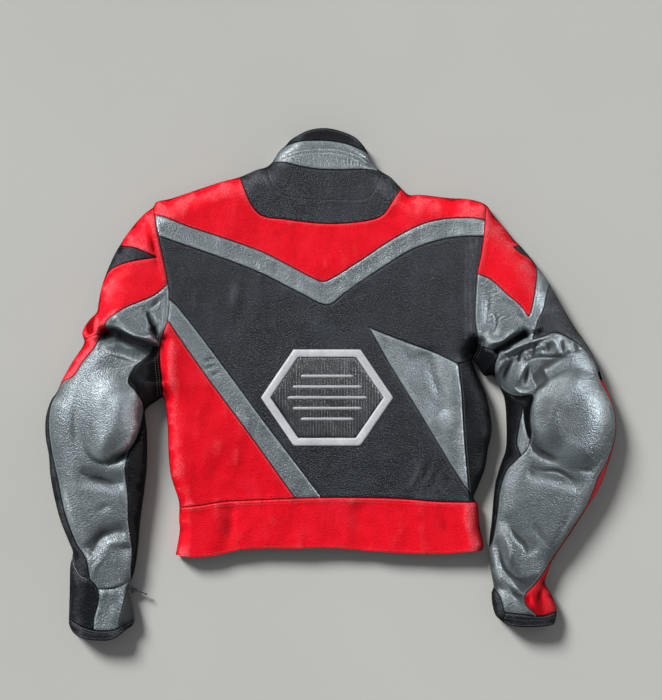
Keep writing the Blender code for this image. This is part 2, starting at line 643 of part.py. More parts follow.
def sew_piece(name, plan, seeds, colour, face, stop=("seam", "side", "end"), lift=0.0, wall=LEATHER,
              gap=SEAM_GAP, also=()):
    """One cut piece: its region of the plan raised onto the form and given the leather's thickness."""
    pts, tris, kind_of = plan
    if also:
        kind_of = {e: k for e, k in kind_of.items() if e not in also}
    picked = regions(pts, tris, kind_of, seeds, stop)
    faces = [tris[k] for k in picked]
    moved, border = pull_in(pts, faces, kind_of, gap)
    ids = sorted(moved)
    where = {i: n for n, i in enumerate(ids)}
    flat = np.array([moved[i] for i in ids])
    outer, n = surface(flat, pts[ids], face)
    top = outer + n * (lift + (wall if lift else 0.0))
    low = outer + n * (lift if lift else -wall)
    verts = np.concatenate([top, low])
    m = len(ids)
    out = []
    for a, b, c in faces:
        a, b, c = where[a], where[b], where[c]
        out.append((a, b, c))
        out.append((m + a, m + c, m + b))
    for a, b in border:
        forward = tuple(pts[a]) < tuple(pts[b])
        a, b = where[a], where[b]
        out.append((a, m + a, m + b if forward else b))
        out.append((a, m + b, b) if forward else (b, m + a, m + b))
    return add_object(name, verts, out, colour)


def prism(name, loop, z0, z1, hidden=False):
    """A plain upright solid over a plan loop, in millimetres about its own origin."""
    n = len(loop)
    verts = [np.array((x, y, z)) for z in (z0, z1) for x, y in loop]
    faces = [tuple(range(n))[::-1], tuple(range(n, 2 * n))]
    faces += [(i, (i + 1) % n, n + (i + 1) % n, n + i) for i in range(n)]
    obj = add_object(name, verts, faces, ZIP_STEEL, 0.35, 0.9)
    obj.hide_render = hidden
    obj.hide_viewport = hidden
    return obj


def circle(radius, n=20):
    turns = [2 * math.pi * k / n for k in range(n)]
    return [(radius * math.cos(t), radius * math.sin(t)) for t in turns]


def rectangle(x0, x1, y0, y1):
    return [(x0, y0), (x1, y0), (x1, y1), (x0, y1)]


def join_or_cut(obj, other, how):
    mod = obj.modifiers.new(how.lower(), "BOOLEAN")
    mod.operation = how
    mod.solver = "EXACT"
    mod.object = other


def place(obj, spot, turn):
    obj.location = [c * MM for c in spot]
    obj.rotation_euler = (0, 0, math.radians(turn))


top_plan = lay_out(SEAMS_TOP, GRID_TOP, RINGS_TOP)
under_plan = lay_out(SEAMS_UNDER, GRID_UNDER, RINGS_UNDER)

patch_edges = set()
for edge in top_plan[2]:
    ends = top_plan[0][list(edge)]
    for loop in ("patch_out", "patch_in"):
        ring = segments([smooth_line(SEAMS_TOP[loop], EDGE_STEP, True)])
        if near_lines(ends, ring)[0].max() < 0.05 and near_lines(ends.mean(0)[None], ring)[0].max() < 0.05:
            patch_edges.add(edge)

for piece, (inside, shade) in TOP_PIECES.items():
    sew_piece(piece, top_plan, inside, shade, height_from, also=patch_edges if piece == "back_main" else ())
for piece, (inside, shade) in UNDER_PIECES.items():
    sew_piece(piece, under_plan, inside, shade, under_from)
sew_piece("patch_border", top_plan, ((-97, -20),), PALE, height_from, lift=PATCH_LIFT, wall=PATCH_WALL)
sew_piece("patch_field", top_plan, ((-6, -20),), BLACK, height_from, lift=PATCH_LIFT, wall=PATCH_FIELD_WALL)

# The slider's own x points out from the sleeve's edge, and its origin is on the pull's pin
out_x = math.cos(math.radians(SLIDER_TURN))
out_y = math.sin(math.radians(SLIDER_TURN))
pin_out = SLIDER_GAP + SLIDER_DEPTH + LUG_REACH - 1.7
pin_spot = (SLIDER_SEAT[0] + out_x * pin_out, SLIDER_SEAT[1] + out_y * pin_out, SLIDER_Z)
half = SLIDER_HEIGHT / 2
back = SLIDER_GAP - pin_out
face_x = back + SLIDER_DEPTH
slider = prism("zip_slider_left", rectangle(back, face_x, -SLIDER_LENGTH / 2, SLIDER_LENGTH / 2), -half, half)
place(slider, pin_spot, SLIDER_TURN)
lug_loop = rectangle(face_x - 1.0, face_x + LUG_REACH, -LUG_LENGTH / 2, LUG_LENGTH / 2)
for name, z0, z1 in (("lug_low", -half + 0.1, -half + LUG_WALL), ("lug_high", half - LUG_WALL, half - 0.1)):
    lug = prism(name, lug_loop, z0, z1, hidden=True)
    place(lug, pin_spot, SLIDER_TURN)
    join_or_cut(slider, lug, "UNION")
pin = prism("pin", circle(PIN_RADIUS, 14), -half + 0.5, half - 0.5, hidden=True)
place(pin, pin_spot, SLIDER_TURN)
join_or_cut(slider, pin, "UNION")

tall = PULL_HEIGHT / 2
pull_loop = [(1.4, -PULL_WIDTH / 2), (PULL_LENGTH - 3.5, -PULL_WIDTH / 2), (PULL_LENGTH - 2.5, -PULL_TIP / 2),
             (PULL_LENGTH, -PULL_TIP / 2), (PULL_LENGTH, PULL_TIP / 2), (PULL_LENGTH - 2.5, PULL_TIP / 2),
             (PULL_LENGTH - 3.5, PULL_WIDTH / 2), (1.4, PULL_WIDTH / 2)]
pull = prism("zip_pull_left", pull_loop, -tall, tall)
place(pull, pin_spot, PULL_REST)
eye = prism("eye", circle(EYE_RADIUS), -tall, tall, hidden=True)
place(eye, pin_spot, PULL_REST)
join_or_cut(pull, eye, "UNION")
hole = prism("eye_hole", circle(EYE_HOLE), -half, half, hidden=True)
place(hole, pin_spot, PULL_REST)
join_or_cut(pull, hole, "DIFFERENCE")
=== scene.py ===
"""A leather motorcycle jacket lying flat on its front, seen from straight above.

Plan sizes are in millimetres: x runs across the back to the right sleeve, y up to the collar, z up from the
floor.
"""
import math

import bpy
import numpy as np
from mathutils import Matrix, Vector, noise
from mathutils.bvhtree import BVHTree
from mathutils.geometry import delaunay_2d_cdt
from mathutils.kdtree import KDTree


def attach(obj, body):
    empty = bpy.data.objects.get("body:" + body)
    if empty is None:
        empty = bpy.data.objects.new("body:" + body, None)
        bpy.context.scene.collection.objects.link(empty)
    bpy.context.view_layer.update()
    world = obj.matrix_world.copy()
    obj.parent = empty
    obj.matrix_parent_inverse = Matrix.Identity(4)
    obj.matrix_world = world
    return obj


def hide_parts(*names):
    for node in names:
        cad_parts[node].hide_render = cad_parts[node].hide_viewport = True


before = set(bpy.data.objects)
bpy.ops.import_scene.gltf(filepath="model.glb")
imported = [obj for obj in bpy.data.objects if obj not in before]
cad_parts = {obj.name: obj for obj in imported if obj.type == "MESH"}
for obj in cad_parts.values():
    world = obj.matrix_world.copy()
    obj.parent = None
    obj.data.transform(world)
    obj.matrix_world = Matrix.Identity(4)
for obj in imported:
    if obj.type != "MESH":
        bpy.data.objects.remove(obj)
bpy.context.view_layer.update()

MM = 0.001
LEATHER = 1.6               # wall of a piece
SEAM_DARK = 0.2             # how far a sewn border is pulled in, so that a dark line shows
EDGE_GAP = 0.36

# Spacing of points: along seams and edges, in the search for them, round the cups, along creases and
# stitching
LINE_STEP = 3.6
SEARCH_STEP = 1.2
CUP_STEP = 6.0
CREASE_STEP = 5.0
STITCH_STEP = 1.5
GRID_TOP = 3.0
GRID_FINE = 1.7
GRID_UNDER = 9.0
ROW_STEP = 0.87             # step between the rows of a grid of even triangles
ON_GRID = 99.0              # marks a point of a grid, which belongs to no row beside a line
AT_ONCE = 4000              # points looked at together, to save memory
OUTLINE_PULL = 6.0          # how much nearer the outline counts to a seam's end, and how near a point takes it
POINT_PULL = 1.2
# Parts of the back that are finely creased: x and y of two corners
FINE_AREAS = (
    (-86, 316, 74, 368), (-352, 28, -240, 122), (218, -26, 372, 104),
)
# Distances of the rows of points beside seams, and beside the closed edge
TOP_RINGS = (0.8, 2.0, 4.0)
TOP_EDGE_RINGS = (0.6, 1.6, 3.2, 5.6, 8.6)
UNDER_RINGS = (1.0, 3.0)
UNDER_EDGE_RINGS = (1.2, 3.4, 7.0)

SEAM_DROP = 1.0             # how far leather turns down into a seam
SEAM_WIDTH = 1.35
END_DROP = 0.9              # the same at the open ends, and the swell beside them
END_SWELL = 0.5
PUCKER = 0.13               # height of the puckers that the thread makes
CALM_EDGE = 12.0            # width along the closed edge without cups and folds, and without creases
PLAIN_EDGE = 6.0

# Laid-up height of the back over the floor: x, y, height, radius of the edge, height of the edge seam
CROWN = (
    (-6, 350, 25, 15, 8), (-6, 300, 36, 24, 9), (-110, 285, 40, 28, 9), (90, 275, 40, 28, 9),
    (-200, 240, 42, 30, 10), (190, 235, 42, 30, 10), (0, 190, 42, 34, 10), (-150, 90, 40, 34, 10),
    (150, 90, 40, 34, 10), (0, 20, 40, 34, 10), (-170, -60, 37, 30, 10), (170, -60, 37, 30, 10),
    (-10, -110, 34, 30, 10), (-160, -150, 30, 24, 9), (160, -150, 30, 24, 9), (-160, -225, 25, 17, 8),
    (0, -225, 26, 17, 8), (160, -225, 25, 17, 8), (-295, 190, 54, 42, 13), (-310, 100, 56, 42, 14),
    (-345, 30, 50, 40, 14), (-350, -60, 52, 40, 14), (-350, -150, 48, 38, 13), (-340, -240, 42, 34, 12),
    (-345, -335, 34, 26, 11), (262, 190, 54, 42, 13), (290, 110, 56, 42, 14), (335, 40, 52, 40, 14),
    (345, -55, 52, 40, 14), (320, -150, 48, 38, 13), (285, -240, 42, 34, 12), (297, -335, 34, 26, 11),
)
CROWN_SPREAD = 52.0

# Deep folds: start x, y, end x, y, depth, half width on the left of that line, half width on its right
FOLDS = (
    (-338, 76, -310, 68, 22, 9, 15), (-316, 70, -262, 50, 27, 9, 15), (-253, 66, -254, 8, 16, 10, 18),
    (-254, 8, -250, -20, 10, 10, 18), (-272, 104, -263, 84, 3, 3, 3), (-263, 84, -254, 60, 9, 4, 8),
    (249, 50.5, 291, 72.5, 24, 9, 4.6), (291, 72.5, 312, 77, 5, 4, 4), (222, 62, 212, 38, 17, 8, 16),
    (-366, -139, -316, -148, 5, 12, 10), (-357, -247, -338, -224, 7, 12, 9),
    (-338, -224, -314, -220, 7, 12, 9), (-322, -247, -294, -245, 2, 10, 12),
    (300, -132, 366, -150, 4, 12, 9), (262, -205, 300, -246, 3, 12, 9), (247, -240, 288, -304, 5, 9, 12),
    (255, -300, 290, -324, 3, 8, 8), (141, 40, 165, -36, 4, 14, 20), (-150, -190, -160, -250, 3, 12, 14),
    (40, -190, 48, -250, 3, 14, 14),
)

# Elbow cups: points round the cup, height of its dome, height of its edge, the levels over which the edge
# fades
# upward, and the way along which it grows, with where that starts and ends
CUP_LEFT = ((-379, -22), (-366, 6), (-346, 22), (-318, 22), (-296, 2), (-283, -30), (-284, -54),
            (-291, -80), (-305, -99), (-322, -109), (-341, -117), (-358, -108), (-371, -86), (-379, -54))
CUP_RIGHT = ((297, -42), (301, -20), (314, 0), (334, 12), (360, 24), (384, 20), (402, 6), (414, -20),
             (419, -48), (417, -76), (408, -104), (392, -124), (366, -128), (340, -120), (318, -100),
             (302, -74))
CUPS = (
    (CUP_LEFT, 12.0, 6.0, (-16, 10), (0.83, -0.55), (-266, -226)),
    (CUP_RIGHT, 12.0, 6.5, (6, 30), (-0.9, 0.43), (-350, -312)),
)
CUP_REACH = 40.0
CUP_EDGE = 9.0

# Rolls and raised padding, the first beside the right armhole: start, end, height, half width
RIDGES = (
    (208, 205, 207, 70, 2.5, 7), (-322, 99, -262, 64, 6, 9), (258, 44, 330, 66, 5, 8),
    (232, 62, 250, 66, 8, 9),
)

# Closed outer edges, where back and front pieces meet
SIDES = {
    "left_outer": (
        (-62, 365), (-68, 358), (-77, 350), (-89, 332), (-98, 325), (-110, 322), (-136, 311), (-166, 303),
        (-205, 290), (-241, 278), (-262, 273), (-267, 265), (-279, 256), (-294, 240), (-309, 220),
        (-324, 195), (-336, 168), (-344, 145), (-349, 119), (-351, 108), (-364, 94), (-373, 77),
        (-370, 62), (-386, 36), (-402, 8), (-411, -12), (-420, -25), (-427.5, -50), (-428, -78),
        (-423, -108), (-421, -136), (-414, -174), (-405, -207), (-393, -237), (-387, -254), (-391, -272),
        (-392, -310), (-393, -346), (-393, -360), (-389, -370)),
    "left_inner": (
        (-305, -367), (-297, -361), (-295, -350), (-297, -334), (-301, -316), (-302, -303), (-295, -281),
        (-290, -250), (-286, -205), (-280, -160), (-276, -120), (-276, -72), (-279, -43), (-276, -36),
        (-262, -26), (-252, -20), (-248, -34), (-245, -62), (-244, -100), (-241, -134), (-235, -155),
        (-228, -178), (-228, -204), (-227, -220), (-233, -256)),
    "right_inner": (
        (227, -249), (229, -242), (223, -213), (220, -180), (214, -171), (220, -155), (231, -126),
        (236, -95), (241, -72), (239, -46), (232, -14), (220, 13), (211, 38), (220, 27), (229, 13),
        (243, 12), (252, -4), (260, -22), (263, -60), (262, -98), (254, -122), (246, -152), (241, -205),
        (237, -245), (239, -275), (244, -305), (241, -312), (242, -330), (247, -347), (255, -355)),
    "right_outer": (
        (335, -360), (338, -348), (338, -334), (329, -313), (321, -298), (325, -283), (332, -265),
        (360, -223), (383, -187), (403, -155), (415, -122), (424, -92), (428, -62), (422, -28), (411, -2),
        (398, 34), (382, 62), (366, 84), (342, 124), (322, 159), (310, 175), (298, 191), (284, 207),
        (275, 216), (258, 237), (244, 253), (232, 269), (208, 277), (178, 279), (134, 284), (117, 284),
        (105, 294), (90, 310), (74, 320), (60, 336), (55, 347), (50, 356)),
}
# Open ends, where the hollow of the jacket can be looked into
ENDS = {
    "collar": ((50, 356), (36, 369), (13, 379), (-11, 383), (-35, 379), (-62, 365)),
    "left_cuff": ((-389, -370), (-374, -379), (-349, -383), (-326, -381), (-305, -367)),
    "hem": ((-233, -256), (-204, -259), (-166, -255), (-137, -248), (-100, -246), (-51, -246), (0, -245),
            (60, -250), (110, -253), (160, -254), (205, -251), (227, -249)),
    "right_cuff": ((255, -355), (268, -361), (290, -363), (318, -362), (335, -360)),
}
# Seams of the back. The first and last point of each run onto the nearest line.
SEAMS_TOP = {
    "collar_top": ((-70, 356), (-45, 363), (-8, 364), (20, 360), (42, 352), (56, 345)),
    "neckline": ((-89, 332), (-70, 331), (-45, 325), (-17, 321), (21, 320), (60, 321), (76, 319)),
    "neck_yoke": ((-137, 311), (-128, 288), (-117, 265), (-102, 251), (-70, 246), (-17, 240), (20, 240),
                  (60, 245), (78, 253), (92, 273), (105, 293)),
    "chevron_top": ((-263, 253), (-250, 250), (-212, 235), (-166, 220), (-104, 198), (-66, 179),
                    (-28, 159), (-12, 153), (2, 158), (45, 185), (90, 215), (132, 237), (165, 246),
                    (208, 248), (231, 245)),
    "chevron_low": ((-257, 221), (-226, 210), (-166, 189), (-104, 165), (-47, 136), (-5, 118), (21, 136),
                    (74, 172), (118, 199), (163, 215), (200, 220), (227, 220)),
    "armhole_left": ((-266, 267), (-260, 234), (-251, 192), (-243, 151), (-241, 120), (-244, 94),
                     (-253, 66), (-256, 44), (-253, 6), (-252, -20)),
    "armhole_right": ((232, 269), (230, 243), (224, 195), (218, 165), (215, 126), (215, 90), (219, 62),
                      (211, 38)),
    "diagonal_up": ((-241, 127), (-229, 116), (-164, 31), (-104, -51), (-47, -126), (-14, -170)),
    "diagonal_low": ((-243, 95), (-226, 69), (-182, 6), (-122, -75), (-62, -159), (-53, -171)),
    "hem": ((-228, -185), (-198, -182), (-160, -176), (-100, -173), (-20, -170), (50, -170), (110, -172),
            (160, -176), (215, -177)),
    "taper_top": ((57, 84), (104, 66), (160, 45), (190, 30)),
    "taper_left": ((57, 84), (86, 31), (135, -48), (178, -120), (206, -162)),
    "taper_right": ((190, 30), (195, -14), (198, -70), (202, -120), (206, -162)),
    "taper_foot": ((206, -162), (209, -177)),
    "side_right": ((190, 30), (211, 38)),
    "insert_left_up": ((-317, 207), (-295, 204), (-277, 197), (-259.5, 189)),
    "insert_left_low": ((-341, 158), (-327, 172), (-305, 181), (-259.5, 189)),
    "cap_left_low": ((-242, 150), (-264, 132), (-302, 116), (-325, 103), (-336, 92), (-335, 80),
                     (-331, 74)),
    "fold_left": ((-371, 66), (-349, 74), (-331, 74), (-312, 66), (-280, 57), (-253, 56)),
    "outer_left_low": ((-343, 73), (-352, 56), (-371, 33), (-385, 12), (-400, 4), (-410, -10)),
    "inner_left": ((-267, 57), (-270, 46), (-281, 36), (-293, 24), (-302, 4), (-290, -11), (-281, -30),
                   (-284, -58), (-292, -84), (-302, -103), (-307, -128), (-303, -166), (-302, -206),
                   (-297, -250), (-299, -275), (-299, -294)),
    "strip_left": ((-410, -12), (-419, -32), (-422, -62), (-417, -102), (-408, -142), (-398, -190),
                   (-381, -237), (-366, -261), (-360, -292)),
    "strip_left_low": ((-360, -292), (-350, -303), (-347, -322), (-354, -350), (-355, -367)),
    "flap_left": ((-387, -255), (-384, -272), (-373, -289), (-360, -292)),
    "wrist_left": ((-348, -306), (-325, -305), (-299, -294)),
    "zip_left": ((-304, -300), (-309, -323), (-315, -345), (-317.5, -366)),
    "cuff_left": ((-393, -350), (-374, -361), (-350, -368), (-324, -367), (-309, -360), (-295, -352)),
    "cap_right_low": ((218, 165), (238, 156), (262, 134), (284, 115), (294, 101), (302, 128), (307, 160),
                      (307, 178)),
    "insert_right": ((306, 179), (295, 189), (283, 196), (272, 205)),
    "insert_right_up": ((272, 205), (284, 207)),
    "strip_right": ((327, 152), (321, 132), (316, 112), (307, 93), (300, 66)),
    "fold_right": ((217, 62), (234, 53), (250, 52), (266, 54), (284, 60), (300, 66), (316, 71.5), (334, 77),
        (354, 69),
                   (378, 53), (394, 32), (402, 7), (409, 4)),
    "inner_right": ((253, -5), (265, -15), (280, -19), (300, -17), (297, -37), (296, -56), (298, -74),
                    (292, -96), (276, -113), (262, -129), (252, -160), (248, -196), (241, -236),
                    (237, -245)),
    "lobe_right": ((250, 52), (249, 44), (245, 32), (244, 22), (246, 10)),
    "pleat_right_a": ((286, -36), (281, -58), (277, -88), (281, -103)),
    "pleat_right_b": ((286, -36), (290, -62), (296, -82)),
    "outer_right": ((398, 20), (404, 2), (412, -13), (421.5, -33), (426, -60), (422, -90), (411, -119),
                    (399, -139), (391, -161), (380.5, -185.5), (357.5, -222), (330, -262.5), (317, -283),
                    (303, -301), (291, -314), (291, -329), (308, -345)),
    "cuff_right": ((259, -341), (286, -344), (318, -346), (338, -340)),
    "tab_right": ((244, -305), (252, -318), (258, -336), (259, -348), (256, -355)),
    "patch_out": ((-105, -20), (-56, 52), (44, 52), (93, -20), (44, -92), (-56, -92), (-105, -20)),
    "patch_in": ((-90, -20), (-49, 40), (37, 40), (78, -20), (37, -80), (-49, -80), (-90, -20)),
}
# Lines sewn down or folded sharp inside a piece
SCORES = {
    "collar_row_up": ((-66, 343.5), (-52, 349), (-24, 352.5), (10, 351.5), (40, 343), (62, 329)),
    "collar_row_low": ((-74, 337.5), (-52, 343.5), (-24, 347), (10, 346), (38, 337.5), (58, 326)),
    "yoke_curve": ((-96, 319.5), (-92, 305), (-84, 292), (-70, 283), (-44, 278.5), (0, 276), (44, 276), (58,
        281),
                   (68, 298), (76, 316)),
    "pad_row_in": ((206, 222), (204.5, 180), (203.5, 140), (204, 100), (205.5, 66)),
    "pad_row_out": ((214.5, 216), (212, 180), (210.5, 140), (210.5, 100), (212, 74)),
    "left_tuck": ((-327.5, 43), (-310.5, 38), (-294, 33)),
    "right_tuck": ((289, 32), (298, 38), (310, 41), (340, 41), (358, 47), (372, 51)),
}
# Seams of the front
SEAMS_UNDER = {
    "armhole_left": SEAMS_TOP["armhole_left"],
    "armhole_right": SEAMS_TOP["armhole_right"],
    "neckline": ((-95, 327), (-60, 308), (-6, 302), (45, 304), (68, 310), (80, 317)),
    "zip_left_edge": ((-15, 304), (-15, 100), (-14, -246)),
    "zip_right_edge": ((5, 304), (5, 100), (6, -245)),
    "collar_split": ((-5, 383), (-5, 302)),
    "hem": ((-228, -185), (-110, -178), (0, -176), (110, -178), (219, -180)),
    "cuff_left": ((-393, -350), (-350, -356), (-297, -352)),
    "cuff_right": ((247, -343), (290, -342), (338, -340)),
    "elbow_left": ((-427.5, -50), (-345, -38), (-276, -36)),
    "elbow_right": ((260, -22), (340, -26), (422, -28)),
}
# Seams that run straight between their points
STRAIGHT = ("patch_out", "patch_in", "taper_top", "taper_left", "taper_right", "taper_foot", "side_right",
            "zip_left_edge", "zip_right_edge", "collar_split", "insert_right_up")

# Back pieces: a point inside each region they are cut as, the slot they take their finish from, and the pieces
# they lie on
TOP_PIECES = {
    "collar_edging": (((-8, 374),), "black_knit", "collar_left collar_right"),
    "collar_back": (((-8, 342),), "grey_leather", "collar_left collar_right"),
    "yoke_neck": (((-8, 280),), "black_leather", "front_left front_right"),
    "yoke_shoulder": (((-200, 262),), "red_leather", "front_left front_right"),
    "chevron": (((-150, 200),), "grey_leather", "front_left front_right"),
    "back_main": (((0, 80), (-97, -20), (-6, -20)), "black_leather", "front_left front_right"),
    "back_stripe": (((-150, -10),), "grey_leather", "front_left"),
    "side_left": (((-200, -100),), "red_leather", "front_left"),
    "back_taper": (((160, 0),), "grey_leather", "front_right"),
    "side_right": (((220, -60),), "black_leather", "front_right"),
    "hem_back": (((0, -210),), "red_leather", "hem_left hem_right"),
    "cap_left": (((-290, 150),), "red_leather", "under_left_upper"),
    "insert_left": (((-315, 190),), "black_leather", "under_left_upper"),
    "upper_left": (((-280, 90),), "grey_leather", "under_left_upper"),
    "outer_left": (((-372, 50),), "red_leather", "under_left_upper"),
    "elbow_left": (((-340, -60),), "grey_leather", "under_left_lower"),
    "strip_left": (((-424, -90),), "black_leather", "under_left_lower"),
    "inner_left": (((-270, 0),), "black_leather", "under_left_upper under_left_lower"),
    "wrist_gusset_left": (((-372, -330),), "black_leather", "under_left_lower"),
    "wrist_left": (((-334, -330),), "grey_leather", "under_left_lower"),
    "zip_tape_left": (((-303, -345),), "zip_tape", "under_left_lower"),
    "cuff_left_back": (((-340, -375),), "black_leather", "cuff_left_front"),
    "cap_right": (((260, 170),), "red_leather", "under_right_upper"),
    "insert_right": (((294, 193),), "black_leather", "under_right_upper"),
    "upper_right": (((250, 100),), "grey_leather", "under_right_upper"),
    "outer_right": (((340, 100),), "black_leather", "under_right_upper"),
    "elbow_right": (((360, -50),), "grey_leather", "under_right_lower"),
    "gusset_right": (((230, 30),), "black_knit", "front_right"),
    "inner_right": (((275, -60),), "black_leather", "under_right_lower"),
    "pleat_right": (((285, -75),), "grey_leather", "under_right_lower"),
    "strip_right": (((318, -320),), "red_leather", "under_right_lower"),
    "cuff_right_back": (((290, -355),), "black_leather", "cuff_right_front"),
    "tab_right": (((247, -330),), "black_leather", "under_right_lower"),
}
UNDER_PIECES = {
    "front_left": (((-120, 50),), "black_leather", "floor"),
    "front_right": (((120, 50),), "black_leather", "floor"),
    "front_zip": (((-5, 50), (-5, -210)), "black_leather", "floor"),
    "collar_left": (((-40, 345),), "grey_leather", "floor"),
    "collar_right": (((35, 345),), "grey_leather", "floor"),
    "hem_left": (((-120, -215),), "red_leather", "floor"),
    "hem_right": (((120, -215),), "red_leather", "floor"),
    "under_left_upper": (((-300, 100),), "black_leather", "floor"),
    "under_left_lower": (((-340, -100),), "black_leather", "floor"),
    "under_right_upper": (((280, 100),), "black_leather", "floor"),
    "under_right_lower": (((320, -100),), "black_leather", "floor"),
    "cuff_left_front": (((-345, -368),), "black_leather", "floor"),
    "cuff_right_front": (((295, -352),), "black_leather", "floor"),
}
# The patch on the back: points inside, slot, wall
PATCH_PIECES = {
    "patch_border": (((-97, -20),), "patch_pale", 1.3),
    "patch_field": (((-6, -20),), "patch_black", 1.0),
}
PATCH_LIFT = 0.34
PATCH_ROLL = 0.75           # how far its border rolls down along its edges
# Bars on it: left end, right end, y
PATCH_BARS = ((-46, 34, 12), (-58, 46, -4), (-66, 54, -20), (-58, 46, -36), (-46, 34, -52))
BAR_WIDTH = 6.0
BAR_HEIGHT = 2.6

# Swell of the folded allowance beside a seam, on the left and right of the seam's direction
BEADS = {
    "collar_row_up": (0.5, 0.5), "collar_row_low": (0.5, 0.5), "yoke_curve": (0.1, 0.4),
    "pad_row_in": (0.1, 1.0), "pad_row_out": (1.0, 0.1), "left_tuck": (0.6, 0.1), "right_tuck": (0.7, 0.1),
    "collar_top": (0.2, 0.5), "neckline": (0.6, 0.1), "neck_yoke": (0.2, 0.6), "chevron_top": (0.1, 0.7),
    "chevron_low": (0.5, 0.1), "armhole_left": (0.3, 1.1), "armhole_right": (1.1, 0.3),
    "diagonal_up": (0.1, 0.5), "diagonal_low": (0.7, 0.1), "hem": (0.1, 0.8), "taper_top": (0.1, 0.5),
    "taper_left": (0.5, 0.1), "taper_right": (0.1, 0.5), "insert_left_up": (0.5, 0.0),
    "insert_left_low": (0.0, 0.5), "cap_left_low": (0.6, 0.2), "cap_right_low": (0.2, 0.6),
    "outer_left_low": (0.4, 0.2), "inner_left": (0.1, 0.5), "inner_right": (0.5, 0.1),
    "strip_left": (0.6, 0.1), "strip_left_low": (0.4, 0.2), "flap_left": (0.9, 0.1),
    "outer_right": (0.2, 0.6), "strip_right": (0.5, 0.2), "cuff_left": (0.1, 0.5), "cuff_right": (0.1, 0.5),
    "tab_right": (0.9, 0.1), "patch_out": (0.0, 0.0), "patch_in": (0.0, 0.0),
}
PLAIN_BEAD = (0.3, 0.3)     # of a seam that isn't named
# Rows of top stitching: their distances to the left of a seam. The thread matches the leather.
STITCHES = {
    "chevron_top": (-2.8,), "chevron_low": (2.8,), "armhole_left": (-3.0, -7.0), "armhole_right": (3.0, 7.0),
    "diagonal_up": (-2.8,), "diagonal_low": (2.8,), "hem": (-2.8, -6.6), "taper_left": (2.8,),
    "taper_top": (-2.8,), "taper_right": (2.8,), "neck_yoke": (-2.8,), "neckline": (2.6,),
    "collar_top": (-2.6,), "cap_left_low": (2.8,), "cap_right_low": (-2.8,), "insert_left_up": (2.6,),
    "insert_left_low": (-2.6,), "inner_left": (-2.8,), "inner_right": (2.8,), "strip_left": (2.8,),
    "outer_right": (-2.8,), "flap_left": (2.2,), "cuff_left": (-2.4,), "cuff_right": (-2.4,),
    "outer_left_low": (2.6,),
}
STITCHED_SCORES = ("collar_row_up", "collar_row_low", "pad_row_in", "pad_row_out")
# Stitching away from the seams
LOOSE_STITCHES = (
    ((-389, -358), (-372, -368.5), (-349, -374), (-325, -373.5), (-306, -365)),
    ((258, -349), (290, -353), (318, -352), (336, -348.5)),
)
# Stitching beside the open ends: end, distance to its left
END_STITCHES = (("collar", 3.0), ("hem", 3.2), ("left_cuff", 2.6), ("right_cuff", 2.6))
STITCH_PITCH = 3.7
STITCH_LENGTH = 2.7
STITCH_RADIUS = 0.4
# Rings of one stitch: place along it, breadth, how far it is raised, both over the radius
STITCH_RINGS = ((0.0, 0.45, -0.5), (0.22, 0.95, 0.35), (0.78, 0.95, 0.35), (1.0, 0.45, -0.5))

